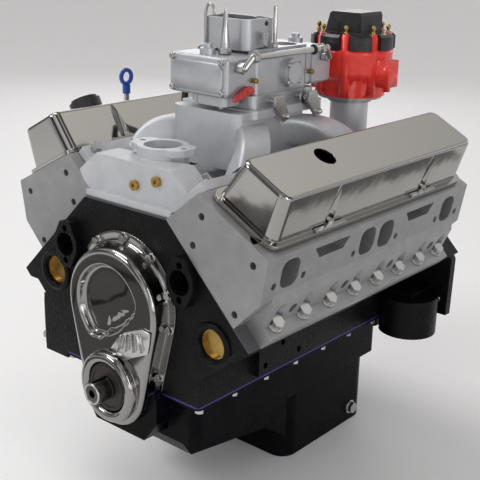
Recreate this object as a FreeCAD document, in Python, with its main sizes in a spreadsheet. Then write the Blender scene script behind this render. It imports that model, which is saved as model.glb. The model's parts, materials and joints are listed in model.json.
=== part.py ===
import FreeCAD, Part
import math
import os
import re
import Sketcher
from FreeCAD import Placement, Rotation, Vector

# Complete overhead-valve V8 engine, in millimetres.
# +X is the left bank's side, +Y runs to the rear, +Z is up. The origin is on the crankshaft's
# axis at the rear face of the block. Lengthwise places are distances forward of that face.
# In a bank, u runs outward along the deck and v runs up the cylinders from the crankshaft.

SIZES = {
    # cylinder block and its running gear
    "bore_spacing": 111.76, "bore_dia": 101.6, "stroke": 88.39, "rod_length": 144.78,
    "deck_height": 229.2, "bank_angle": 45, "bank_offset": 22.35, "block_length": 518,
    "first_pin_back": 77.5, "stick_boss_r": 9, "cylinder_foot": 78, "cam_height": 114.83,
    "rail_half": 132,
    "rail_step": 12, "jacket_out": 66, "deck_out": 78, "deck_in": 62, "deck_lip": 15,
    "gallery_top": 150, "gallery_in": 97, "valley_floor": 155, "valley_half": 15,
    "end_wall": 17, "end_wall_top": 243, "web_thick": 22, "last_web_front": 61,
    "case_half": 118, "case_top": 86, "main_dia": 62.2, "main_seat_dia": 67.08,
    "pin_dia": 53.3, "cam_seat_dia": 50.8, "cam_journal_dia": 47.4, "run_gap": 0.05,
    "seat_gap": 0.05, "flange_half": 212, "flange_thick": 14, "flange_top": 226,
    "lifter_dia": 21.4, "boss_u": 70, "boss_dia": 22,
    "pump_pad_x": 109, "pump_pad_z": 172, "pump_bolt_rise": 23, "pump_pad_thick": 13,
    "pump_port_dia": 34, "pump_port_deep": 30, "pump_pad_bolt_dia": 9.6, "core_plug_dia": 41.3,
    "core_left_x": 155, "core_left_z": 98, "core_right_x": 146, "core_right_z": 122,
    "core_side_v": 165, "core_depth": 8, "filter_x": 168, "filter_back": 58,
    "filter_dia": 92, "filter_low": -22, "filter_high": 40, "mount_pad_x": 142,
    "mount_pad_back": 355, "mount_pad_half": 52, "mount_pad_low": 8, "mount_pad_high": 54,
    "fuel_pad_x": 182, "fuel_pad_back": 483, "fuel_pad_half": 31,
    "head_bolt_dia": 11, "bolt_gap": 0.3, "bell_hole_dia": 10.4,
    # heads, covers and what sits on them
    "gasket_thick": 1, "head_length": 478, "head_in": 118.8, "head_foot": 42.5,
    "head_knee_v": 287.5, "head_knee_u": 42, "rail_out_u": 7.8, "rail_out_v": 336.3,
    "rail_in_u": 112, "rail_in_v": 299.5, "ledge_out": 79, "ledge_top": 250,
    "ledge_back": 22, "ledge_bolt_u": 62, "mid_bolt_u": 20, "spot_v": 288, "spot_r": 12,
    "chamber_dia": 92, "chamber_deep": 10, "valve_tilt": 23, "valve_u": 4, "valve_v": 247,
    "valve_half": 20, "intake_valve_dia": 45, "exhaust_valve_dia": 36, "stem_dia": 8.6,
    "stem_length": 100, "spring_r": 16, "spring_low": 64, "plug_hole_dia": 14, "exhaust_wide": 36,
    "exhaust_tall": 38, "siamese_half": 22.5, "outer_port": 189.5, "intake_port_half": 16,
    "intake_port_wide": 26, "intake_port_tall": 50, "rocker_well": 18, "cover_flange_half": 56,
    "cover_flange_long": 228, "cover_flange_thick": 5, "cover_base_half": 49,
    "cover_top_half": 38.5, "cover_base_long": 222, "cover_top_long": 219, "cover_high": 65,
    "cover_gasket_thick": 3, "notch_reach": 112, "notch_r": 9, "vent_in": 9, "vent_reach": 92,
    "breather_reach": 125, "grommet_dia": 31, "pushrod_tip_u": 86, "pushrod_tip_v": 333,
    "pushrod_dia": 8, "lifter_long": 44,
    # intake manifold and carburettor
    "intake_foot": 246, "valley_seal_half": 78, "valley_plate_half": 80, "plenum_half": 62,
    "plenum_front": 370, "plenum_rear": 215,
    "pad_thick": 12, "pad_half_x": 70, "pad_half_y": 80, "runner_wide": 66, "runner_tall": 46,
    "spark_boss_r": 30, "base_thick": 18, "metering_thick": 12, "main_body_half": 58,
    "horn_half": 42, "horn_front": 330, "horn_rear": 268, "choke_z": 452, "choke_half": 27,
    "choke_corner": 12,
    "tube_x": 68, "tube_z": 430,
    "intake_flange_thick": 13, "intake_half": 222, "intake_gasket_thick": 1,
    "pad_top": 357, "carb_back": 264, "thermostat_back": 448, "thermostat_top": 318,
    "thermostat_dia": 52, "bore_primary": 40, "barrel_x": 27, "barrel_y": 33,
    "carb_half_wide": 53, "diaphragm_back": 246, "diaphragm_z": 399, "diaphragm_r": 20,
    "bowl_face": 118, "bowl_low": 376, "pump_body_deep": 13, "bowl_high": 430,
    "throttle_z": 366, "throttle_dia": 8, "horn_top": 476, "body_top": 436,
    # timing drive, front cover and sump
    "chain_pitch": 9.525, "crank_teeth": 21, "cam_teeth": 42, "sprocket_front": 529.5,
    "sprocket_thick": 5.5, "tooth_rise": 1.0, "cover_round_z": 119, "cover_round_r": 80,
    "cover_neck_r": 52,
    "cover_lip": 14, "cover_foot": 10, "cover_front": 545, "cover_wall": 3, "seal_front": 560,
    "snout_dia": 31.6, "snout_step": 0.3, "snout_front": 584, "seal_dia": 68,
    "pan_gasket_thick": 2.5,
    "pan_half": 116, "pan_front": 506, "lip_front": 535, "lip_half": 72, "tray_low": 72,
    "sump_half": 100, "sump_front": 285, "hump_half": 66, "hump_low": 62, "well_low": 128,
    "well_rear": 38, "rail_bolt_x": 125, "rail_bolt_dia": 6.4, "front_seal_r": 56,
    "pump_top": 90, "pump_r": 20, "pan_flange_thick": 3, "pan_wall": 2.5, "sump_low": 193,
    "pan_rear": 16, "sump_rear": 66, "cap_bolt_x": 46, "cap_bolt_dia": 11, "cap_deep": 48,
    "cap_half": 62, "bearing_wide": 20, "cheek_r": 33, "weight_r": 74, "cheek_gap": 1,
    "pin_half": 24, "wrist_dia": 23.54, "crown_rise": 39.6, "skirt_drop": 21, "rod_wide": 21.8,
    "lobe_base_r": 17, "lobe_reach": 17.4, "lobe_nose_r": 6, "lobe_wide": 10, "pump_drive_dia": 7,
    "pilot_dia": 27.8, "pilot_deep": 22, "crank_flange_dia": 112, "crank_bolt_circle": 90.9,
    # distributor
    "spark_x": 36, "spark_back": 65.5, "spark_tail_dia": 30, "spark_base_z": 336,
    "rotor_shaft_dia": 12, "spark_body_low": 347, "spark_gear_r": 12.5, "rotor_top": 408,
    "stick_x": 270, "stick_back": 261, "stick_top": 330, "stick_foot_z": 22, "coil_top": 474,
    "spark_cap_high": 420, "spark_rim_high": 443, "spark_cap_dia": 131, "tower_r": 8,
    "coil_half_x": 33, "coil_half_y": 29,
}

doc = FreeCAD.newDocument("complete_v8_engine")
sheet = doc.addObject("Spreadsheet::Sheet", "Sizes")
for row, (alias, number) in enumerate(SIZES.items(), start=1):
    sheet.set(f"A{row}", alias.replace("_", " "))
    sheet.set(f"B{row}", str(number))
    sheet.setAlias(f"B{row}", alias)
doc.recompute()

PARTS = []
HALF = "sqrt(0.5)"


def full(text):
    """Turn the size names of an expression into the sheet's cells."""
    return re.sub(r"[a-z][a-z_]*", lambda word: f"Sizes.{word.group()}" if word.group() in SIZES
                  else word.group(), str(text))


def size(text):
    """Work out an expression of size names."""
    return float(sheet.evalExpression(full(text)))


def bind(thing, prop, text):
    thing.setExpression(prop, full(text))


def across(u, v):
    """X of a bank's point (u, v), on the left bank."""
    return f"(({u}) + ({v})) * {HALF}"


def up(u, v):
    """Z of a bank's point (u, v)."""
    return f"(({v}) - ({u})) * {HALF}"


def bank_point(u, v):
    return (across(u, v), up(u, v))


def mirrored(points):
    """A half outline, from bottom to top, and its mirror image in X."""
    return points + [(f"-({x})", z) for x, z in reversed(points)]


def pin_back(number):
    """How far forward of the rear face a crank pin's middle lies."""
    return f"(block_length - first_pin_back - {number} * bore_spacing)"


def bore_back(side, number):
    return f"({pin_back(number)} + {side} * bank_offset / 2)"


def main_back(number):
    """A main bearing's middle: -1 is the front one and 3 the rear one."""
    return f"({pin_back(number)} - bore_spacing / 2)"


def bank_back(side):
    """The middle of a bank."""
    return f"(block_length - first_pin_back - 1.5 * bore_spacing + {side} * bank_offset / 2)"


def circle(x, y, radius):
    return ("circle", x, y, radius)


def box(x, y, wide, tall):
    """A rectangle about (x, y)."""
    return [(f"{x} - ({wide}) / 2", f"{y} - ({tall}) / 2"), (f"{x} + ({wide}) / 2", f"{y} - ({tall}) / 2"),
            (f"{x} + ({wide}) / 2", f"{y} + ({tall}) / 2"), (f"{x} - ({wide}) / 2", f"{y} + ({tall}) / 2")]


def rounded(points, radius):
    return ("rounded", points, radius)


def keyhole(low, low_radius, high, high_radius):
    """Two circles on one upright line, with their outer tangents."""
    return ("keyhole", low, low_radius, high, high_radius)


def rounded_edges(points, radius):
    """Lines and arcs of a polygon whose corners have one radius."""
    corners = [Vector(size(x), size(y), 0) for x, y in points]
    count = len(corners)
    starts, ends, middles = [], [], []
    for k in range(count):
        here = corners[k]
        back = (corners[k - 1] - here).normalize()
        ahead = (corners[(k + 1) % count] - here).normalize()
        half = back.getAngle(ahead) / 2
        reach = size(radius) / math.tan(half)
        starts.append(here + back * reach)
        ends.append(here + ahead * reach)
        toward = (back + ahead).normalize()
        middles.append(here + toward * (size(radius) / math.sin(half) - size(radius)))
    edges = []
    for k in range(count):
        edges.append(Part.Arc(starts[k], middles[k], ends[k]))
        edges.append(Part.LineSegment(ends[k], starts[(k + 1) % count]))
    return edges


def keyhole_edges(low, low_radius, high, high_radius):
    z1, r1, z2, r2 = size(low), size(low_radius), size(high), size(high_radius)
    lean = math.asin((r1 - r2) / (z2 - z1))
    foot = Vector(r1 * math.cos(lean), z1 + r1 * math.sin(lean), 0)
    head = Vector(r2 * math.cos(lean), z2 + r2 * math.sin(lean), 0)
    flip = lambda p: Vector(-p.x, p.y, 0)
    return [Part.Arc(flip(foot), Vector(0, z1 - r1, 0), foot), Part.LineSegment(foot, head),
            Part.Arc(head, Vector(0, z2 + r2, 0), flip(head)), Part.LineSegment(flip(head), flip(foot))]


def heading(angle):
    """The direction at an angle from straight up, clockwise seen from the front."""
    return Vector(math.sin(math.radians(angle)), math.cos(math.radians(angle)), 0)


def egg_edges(z, angle, base, reach, nose):
    """A circle and a smaller one off its centre, with their outer tangents."""
    middle, out = Vector(0, size(z), 0), heading(angle)
    base, reach, nose = size(base), size(reach), size(nose)
    lean = math.degrees(math.asin((base - nose) / reach))
    left, right = heading(angle - 90 + lean), heading(angle + 90 - lean)
    tip = middle + out * reach
    return [Part.Arc(middle + right * base, middle - out * base, middle + left * base),
            Part.LineSegment(middle + left * base, tip + left * nose),
            Part.Arc(tip + left * nose, tip + out * nose, tip + right * nose),
            Part.LineSegment(tip + right * nose, middle + right * base)]


def cheek_edges(angle):
    """A crank cheek: round over its pin, with a counterweight opposite."""
    pin = heading(angle) * size("stroke / 2")
    side, radius, heavy = heading(angle + 90), size("cheek_r"), size("weight_r")
    near, far = heading(angle + 180 - 66) * heavy, heading(angle + 180 + 66) * heavy
    return [Part.Arc(pin - side * radius, pin + heading(angle) * radius, pin + side * radius),
            Part.LineSegment(pin + side * radius, near),
            Part.Arc(near, heading(angle + 180) * heavy, far), Part.LineSegment(far, pin - side * radius)]


class Piece:
    """One part of the engine, as a body built feature by feature."""

    PLANES = {"front": "XZ_Plane", "top": "XY_Plane", "side": "YZ_Plane"}
    OUTLINES = {"rounded": rounded_edges, "keyhole": keyhole_edges, "egg": egg_edges,
                "cheek": cheek_edges}

    def __init__(self, label, keep=True):
        self.body = doc.addObject("PartDesign::Body", label)
        self.body.Label = label
        self.body.AllowCompound = True
        self.label = label
        self.count = 0
        if keep:
            PARTS.append(self.body)

    def sketch(self, role, shapes, out="0", at=("0", "0", "0"), tilt=0):
        """Shapes on an origin plane: out along its normal, or at a point and tilted about Y."""
        self.count += 1
        drawing = self.body.newObject("Sketcher::SketchObject", f"{self.label}_sketch_{self.count}")
        plane = next(f for f in self.body.Origin.OriginFeatures if f.Role == self.PLANES[role])
        drawing.AttachmentSupport = [(plane, "")]
        drawing.MapMode = "FlatFace"
        if role == "top" and (tilt or at != ("0", "0", "0")):
            lean = Rotation(Vector(0, 1, 0), size(tilt))
            drawing.AttachmentOffset = Placement(Vector(*[size(a) for a in at]), lean)
            shift = (f"({at[0]}) + ({out}) * sin({tilt})", at[1], f"({at[2]}) + ({out}) * cos({tilt})")
            for name, text in zip("xyz", shift):
                bind(drawing, f"AttachmentOffset.Base.{name}", text)
        else:
            bind(drawing, "AttachmentOffset.Base.z", out)
        return self.fill(drawing, shapes)

    def fill(self, drawing, shapes):
        """Draw the shapes and tie them to the sheet's sizes."""
        curves, ties = [], []
        for shape in shapes:
            self.draw(shape, curves, ties)
        drawing.addGeometry(curves)
        drawing.addConstraint([tie for tie, text in ties])
        for number, (tie, text) in enumerate(ties):
            if text:
                bind(drawing, f"Constraints[{number}]", text)
        return drawing

    def draw(self, shape, curves, ties):
        """Add a shape's curves, and the constraints that tie them to the sheet's sizes."""
        first = len(curves)
        if shape[0] == "circle":
            x, y, radius = shape[1:]
            curves.append(Part.Circle(Vector(size(x), size(y), 0), Vector(0, 0, 1), size(radius)))
            ties.append((Sketcher.Constraint("Radius", first, size(radius)), radius))
            ties += self.pin(first, 3, x, y)
        elif shape[0] in self.OUTLINES:
            edges = self.OUTLINES[shape[0]](*shape[1:])
            curves += edges
            ties += [(Sketcher.Constraint("Block", first + k), "") for k in range(len(edges))]
        else:
            count = len(shape)
            spots = [Vector(size(x), size(y), 0) for x, y in shape]
            for k, (x, y) in enumerate(shape):
                curves.append(Part.LineSegment(spots[k], spots[(k + 1) % count]))
                ties.append((Sketcher.Constraint("Coincident", first + k, 2, first + (k + 1) % count, 1), ""))
                ties += self.pin(first + k, 1, x, y)

    def pin(self, index, point, x, y):
        """The ties of a point of a sketch to its place in the sheet's sizes."""
        return [(Sketcher.Constraint(kind, -1, 1, index, point, size(text)), text)
                for kind, text in (("DistanceX", x), ("DistanceY", y))]

    def add(self, role, shapes, out, length, at=("0", "0", "0"), tilt=0):
        return self.extrude("PartDesign::Pad", role, shapes, out, length, at, tilt)

    def cut(self, role, shapes, out, length, at=("0", "0", "0"), tilt=0):
        return self.extrude("PartDesign::Pocket", role, shapes, out, length, at, tilt)

    def extrude(self, kind, role, shapes, out, length, at, tilt):
        drawing = self.sketch(role, shapes, out, at, tilt)
        feature = self.body.newObject(kind, f"{self.label}_step_{self.count}")
        feature.Profile = drawing
        feature.Reversed = kind.endswith("Pocket")
        feature.Type = "Length"
        bind(feature, "Length", length)
        drawing.Visibility = False
        return feature

    def turn(self, points, kind="PartDesign::Revolution", at=("0", "0", "0")):
        """Revolve an outline (radius, distance forward) about a lengthwise axis."""
        flipped = [(x, f"-({y})") for x, y in points]
        drawing = self.sketch("top", [flipped], "0", at)
        feature = self.body.newObject(kind, f"{self.label}_step_{self.count}")
        feature.Profile = drawing
        feature.ReferenceAxis = (drawing, ["V_Axis"])
        feature.Angle = 360
        return feature

    def spin(self, points, kind="PartDesign::Revolution"):
        """Revolve an outline (radius, height) about the body's upright axis."""
        drawing = self.sketch("front", [points])
        feature = self.body.newObject(kind, f"{self.label}_step_{self.count}")
        feature.Profile = drawing
        feature.ReferenceAxis = (drawing, ["V_Axis"])
        feature.Angle = 360
        return feature

    def soften(self, chosen, radius):
        """Fillet the edges of the body so far for which chosen(edge) holds."""
        doc.recompute()
        base = self.body.Tip
        names = [f"Edge{k}" for k, edge in enumerate(base.Shape.Edges, start=1) if chosen(edge)]
        if names:
            self.count += 1
            feature = self.body.newObject("PartDesign::Fillet", f"{self.label}_step_{self.count}")
            feature.Base = (base, names)
            bind(feature, "Radius", radius)

    def place(self, at, turn=None):
        self.body.Placement = Placement(Vector(*[size(a) for a in at]), turn or Rotation())
        for name, text in zip("xyz", at):
            bind(self.body, f"Placement.Base.{name}", text)


class Casting(Piece):
    """A heavy part: its bosses and walls are fused, and then all its holes are cut at once."""

    TURNS = {"front": Rotation(Vector(1, 0, 0), 90), "top": Rotation(),
             "side": Rotation(Vector(1, 1, 1), 120)}
    REACH = {"front": ("0", "-({})", "0"), "top": ("0", "0", "{}"), "side": ("{}", "0", "0")}

    def __init__(self, label):
        self.label = label
        self.count = 0
        self.added, self.removed = [], []

    def sketch(self, role, shapes, out="0", at=("0", "0", "0"), tilt=0):
        self.count += 1
        drawing = doc.addObject("Sketcher::SketchObject", f"{self.label}_sketch_{self.count}")
        turn = self.TURNS[role]
        spot = [text.format(out) for text in self.REACH[role]]
        if role == "top":
            turn = Rotation(Vector(0, 1, 0), size(tilt))
            spot = [f"({at[0]}) + ({out}) * sin({tilt})", at[1], f"({at[2]}) + ({out}) * cos({tilt})"]
        drawing.Placement = Placement(Vector(*[size(text) for text in spot]), turn)
        for name, text in zip("xyz", spot):
            bind(drawing, f"Placement.Base.{name}", text)
        return self.fill(drawing, shapes)

    def extrude(self, kind, role, shapes, out, length, at, tilt):
        drawing = self.sketch(role, shapes, out, at, tilt)
        prism = doc.addObject("Part::Extrusion", f"{self.label}_step_{self.count}")
        prism.Base = drawing
        prism.DirMode = "Normal"
        prism.Solid = True
        bind(prism, "LengthFwd", length)
        (self.removed if kind.endswith("Pocket") else self.added).append(prism)
        return prism

    def take(self, shape, cut=False):
        """Bring a computed shape, such as a loft, into the casting."""
        self.count += 1
        thing = doc.addObject("Part::Feature", f"{self.label}_step_{self.count}")
        thing.Shape = shape
        (self.removed if cut else self.added).append(thing)
        return thing

    def turn(self, points, at=("0", "0"), cut=False):
        """Revolve an outline (radius, distance forward) about the lengthwise axis at (x, z)."""
        moved = [(f"{at[0]} + {x}", f"-({y})") for x, y in points]
        drawing = self.sketch("top", [moved], "0", ("0", "0", at[1]))
        return self.revolve(drawing, Vector(0, 1, 0), (at[0], "0", at[1]), cut)

    def spin(self, points, at=("0", "0"), cut=False):
        """Revolve an outline (radius, height) about the upright axis at (x, distance forward)."""
        drawing = self.sketch("front", [[(f"{at[0]} + {x}", z) for x, z in points]], at[1])
        return self.revolve(drawing, Vector(0, 0, 1), (at[0], f"-({at[1]})", "0"), cut)

    def revolve(self, drawing, axis, base, cut):
        ring = doc.addObject("Part::Revolution", f"{self.label}_step_{self.count}")
        ring.Source = drawing
        ring.Axis = axis
        ring.Angle = 360
        ring.Solid = True
        for name, text in zip("xyz", base):
            bind(ring, f"Base.{name}", text)
        (self.removed if cut else self.added).append(ring)
        return ring

    def finish(self, place=None):
        """Fuse what was added, cut what was removed, and keep the result as the part."""
        solid = self.joined(self.added, "whole")
        if self.removed:
            cut = doc.addObject("Part::Cut", f"{self.label}_cut")
            cut.Base = solid
            cut.Tool = self.joined(self.removed, "holes")
            solid = cut
        solid.Label = self.label
        if place:
            solid.Placement = place
        PARTS.append(solid)
        return solid

    def joined(self, things, name):
        if len(things) == 1:
            return things[0]
        group = doc.addObject("Part::MultiFuse", f"{self.label}_{name}")
        group.Shapes = things
        return group


def keep_shape(label, shape, place=None):
    """A part whose shape is computed, such as a group of copies."""
    thing = doc.addObject("Part::Feature", label)
    thing.Label = label
    thing.Shape = shape
    if place:
        thing.Placement = place
    PARTS.append(thing)
    return thing


def rod(radius, start, end):
    """A round bar between two points."""
    run = Vector(*end) - Vector(*start)
    return Part.makeCylinder(radius, run.Length, Vector(*start), run)


def slab(corners, start, run):
    """A prism over a polygon of points."""
    points = [Vector(*c) + Vector(*start) for c in corners]
    return Part.Face(Part.makePolygon(points + points[:1])).extrude(Vector(*run))


def hexagon(flats, height):
    reach = flats / math.sqrt(3)
    corners = [(reach * math.cos(math.radians(a)), reach * math.sin(math.radians(a)), 0)
               for a in range(0, 360, 60)]
    return slab(corners, (0, 0, 0), (0, 0, height))


def bolt(flats, head, radius, length, washer=0):
    """A hexagon bolt that points down from the origin, with an optional washer under its head."""
    shape = hexagon(flats, head)
    shape.translate(Vector(0, 0, washer))
    body = shape.fuse(rod(radius, (0, 0, washer), (0, 0, -length)))
    if washer:
        body = body.fuse(rod(flats * 0.68, (0, 0, 0), (0, 0, washer)))
    return body.removeSplitter()


def facing(direction):
    """The turn that takes +Z to a direction."""
    return Rotation(Vector(0, 0, 1), Vector(*direction))


def copies(shape, places):
    """One compound of a shape at many placements."""
    made = []
    for place in places:
        twin = shape.copy()
        twin.Placement = place.multiply(shape.Placement)
        made.append(twin)
    return Part.makeCompound(made)


def bank_turn(side):
    return Rotation(Vector(0, 1, 0), side * size("bank_angle"))


def bank_place(side, u, v, back, turn=None):
    """A placement at (u, v) of a bank; u is outward on either side."""
    lean = bank_turn(side)
    spot = lean.multVec(Vector(side * u, 0, v)) + Vector(0, -back, 0)
    return Placement(spot, lean.multiply(turn) if turn else lean)


def engine_block():
    block = Casting("engine_block")
    left = [("rail_half", "0"), ("rail_half", "rail_step"),
            bank_point("jacket_out", "deck_height - 110"),
            bank_point("jacket_out", "deck_height - deck_lip - 12"),
            bank_point("deck_out", "deck_height - deck_lip"), bank_point("deck_out", "deck_height"),
            bank_point("-deck_in", "deck_height"), bank_point("-deck_in", "gallery_top"),
            bank_point("-gallery_in", "gallery_top"), ("valley_half", "valley_floor")]
    block.add("front", [mirrored(left)], "0", "block_length")
    wall_top = f"deck_height / {HALF} - end_wall_top"
    wall = mirrored([("60", "valley_floor - 10"), bank_point("-deck_in", "deck_height"),
                     (wall_top, "end_wall_top")])
    block.add("front", [wall], "0", "end_wall")
    block.add("front", [wall], "block_length - end_wall", "end_wall")
    for side in (1, -1):
        bosses = [circle(f"-({side}) * boss_u", f"-{bore_back(side, k)}", "boss_dia / 2")
                  for k in range(4)]
        block.add("top", bosses, "gallery_top - 1", "deck_height - gallery_top + 1",
                  tilt=f"{side} * bank_angle")
    flange = mirrored([("flange_half", "0"), ("flange_half + 2", "95"), ("flange_half - 22", "138"),
                       ("130", "188"), ("62", "flange_top - 4"), ("20", "flange_top")])
    block.add("front", [flange], "0", "flange_thick")
    # water pump pads, fuel pump pad, oil filter boss and engine mount pads
    for side in (1, -1):
        middle = f"{side} * pump_pad_x"
        block.add("front", [keyhole_at(middle)], "block_length - 1", "pump_pad_thick + 1")
    fuel = [("-rail_half + 12", "0"), ("-rail_half - 1", "0"), ("-rail_half - 1", "-14"),
            ("-fuel_pad_x", "-14"), ("-fuel_pad_x", "76"), ("-150", "84"),
            ("-rail_half + 12", "62")]
    block.add("front", [fuel], "fuel_pad_back - fuel_pad_half", "2 * fuel_pad_half")
    block.add("top", [circle("filter_x", "-filter_back", "filter_dia / 2")], "filter_low",
              "filter_high - filter_low")
    block.add("front", [[("rail_half - 20", "0"), ("filter_x", "0"), ("filter_x + 16", "46"),
                         ("rail_half - 12", "46")]], "0", "filter_back + 20")
    pad = box("-mount_pad_back", "(mount_pad_low + mount_pad_high) / 2", "2 * mount_pad_half",
              "mount_pad_high - mount_pad_low")
    block.add("side", [pad], "rail_half - 14", "mount_pad_x - rail_half + 14")
    block.add("side", [pad], "-mount_pad_x", "mount_pad_x - rail_half + 14")
    block.add("side", [circle("-stick_back", "stick_foot_z", "stick_boss_r")], "-rail_half - 8", "14")
    block.cut("front", [[("case_half", "0"), ("case_half", "filter_low - 1"), ("rail_half + 1", "filter_low - 1"),
                         ("rail_half + 1", "0")]], "flange_thick", "filter_back + filter_dia")
    # cylinders, crankcase bays, camshaft tunnel and main bearing seats
    for side in (1, -1):
        holes = [circle("0", f"-{bore_back(side, k)}", "bore_dia / 2") for k in range(4)]
        block.cut("top", holes, "cylinder_foot", "deck_height - cylinder_foot + 1",
                  tilt=f"{side} * bank_angle")
        lifters = [circle(f"-({side}) * cam_height * {HALF}", f"-{bore_back(side, k)} + {way} * valve_half",
                          "lifter_dia / 2") for k in range(4) for way in (-1, 1)]
        block.cut("top", lifters, f"cam_height * {HALF} + 8", f"gallery_top - cam_height * {HALF}",
                  tilt=f"{side} * bank_angle")
        bolts = [circle(f"{side} * ledge_bolt_u", f"-{bank_back(side)} + ({k} - 3.5) * bore_spacing / 2",
                        "head_bolt_dia / 2 + bolt_gap") for k in range(8)]
        bolts += [circle(f"-({side}) * mid_bolt_u", f"-{bank_back(side)} + ({k} - 2) * bore_spacing",
                         "head_bolt_dia / 2 + bolt_gap") for k in range(5)]
        bolts += [circle(f"-({side}) * boss_u", f"-{bore_back(side, k)}",
                         "head_bolt_dia / 2 + bolt_gap") for k in range(4)]
        block.cut("top", bolts, "deck_height - 30", "31", tilt=f"{side} * bank_angle")
    bay = mirrored([("case_half", "-1"), ("case_half", "22"), ("92", "48"), ("54", "case_top")])
    for k in range(4):
        start = f"{main_back(k)} + web_thick / 2"
        length = "bore_spacing - web_thick"
        if k == 3:
            start = "last_web_front"
            length = f"{main_back(2)} - web_thick / 2 - last_web_front"
        block.cut("front", [bay], start, length)
    block.cut("front", [circle("0", "0", "main_seat_dia / 2")], "-1", "block_length + 2")
    block.cut("front", [circle("0", "0", "crank_flange_dia / 2 + 2")], "-1", "20")
    block.cut("front", [circle("0", "cam_height", "cam_seat_dia / 2")], "-1", "block_length + 2")
    # distributor and oil pump drive, core plugs, water ports and bolt holes
    block.cut("top", [circle("spark_x", "-spark_back", "spark_tail_dia / 2 + 1")], "90", "160")
    block.cut("top", [circle("spark_x", "-spark_back", "pump_drive_dia / 2 + 0.9")], "-1", "100")
    threads = [circle(f"{side} * cap_bolt_x", f"-{main_back(k)}", "cap_bolt_dia / 2 + bolt_gap")
               for side in (1, -1) for k in range(-1, 4)]
    block.cut("top", threads, "-1", "41")
    block.cut("front", [circle("core_left_x", "core_left_z", "core_plug_dia / 2 + seat_gap"),
                        circle("-core_right_x", "core_right_z", "core_plug_dia / 2 + seat_gap")],
              "block_length - core_depth", "core_depth + 1")
    for side in (1, -1):
        wells = [circle("0", f"-{bore_back(side, k)} + bore_spacing / 2", "core_plug_dia / 2 + seat_gap")
                 for k in range(3)]
        block.cut("top", wells, "0", "core_depth + 1",
                  at=side_spot(side), tilt=f"{side} * (bank_angle + 90)")
        middle = f"{side} * pump_pad_x"
        block.cut("front", [circle(middle, "pump_pad_z", "pump_port_dia / 2")],
                  "block_length + pump_pad_thick - pump_port_deep", "pump_port_deep + 1")
        block.cut("front", [circle(middle, f"pump_pad_z + {way} * pump_bolt_rise", "pump_pad_bolt_dia / 2")
                            for way in (-1, 1)], "block_length + pump_pad_thick - 20", "21")
        flange_holes = [("flange_half - 17", "24"), ("flange_half - 36", "116"), ("84", "196")]
        block.cut("front", [circle(f"{side} * ({x})", z, "bell_hole_dia / 2") for x, z in flange_holes],
                  "-1", "flange_thick + 2")
    block.cut("side", [circle("-stick_back", "stick_foot_z", "4.6")], "-rail_half - 9", "9")
    block.cut("top", [circle(x, y, "rail_bolt_dia / 2 + bolt_gap") for x, y in pan_bolt_spots()], "-1", "16")
    for way in (-1, 1):
        block.cut("side", [circle(f"-mount_pad_back + {k} * 38", f"31 + {rise}", "4.8")
                           for k, rise in ((-1, -10), (0, 13), (1, -10))],
                  "mount_pad_x - 14" if way > 0 else "-mount_pad_x - 1", "15")
    return block.finish()


def keyhole_at(middle):
    """The water pump pad's outline: a tall rounded lozenge."""
    points = [(f"{middle} - 10", "pump_pad_z - 33"), (f"{middle} + 10", "pump_pad_z - 33"),
              (f"{middle} + 23", "pump_pad_z - 8"), (f"{middle} + 23", "pump_pad_z + 8"),
              (f"{middle} + 10", "pump_pad_z + 33"), (f"{middle} - 10", "pump_pad_z + 33"),
              (f"{middle} - 23", "pump_pad_z + 8"), (f"{middle} - 23", "pump_pad_z - 8")]
    return rounded(points, "6")


def side_spot(side):
    """A point on a bank's outer wall, level with the side core plugs, and just outside it."""
    u, v = "(jacket_out - core_depth)", "core_side_v"
    return (f"{side} * ({across(u, v)})", "0", up(u, v))



def head_place(side):
    """The heads are one casting: the right one is turned end for end."""
    turn = bank_turn(side)
    if side < 0:
        turn = turn.multiply(Rotation(Vector(0, 0, 1), 180))
    return Placement(Vector(0, -size(bank_back(side)), 0), turn)


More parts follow.
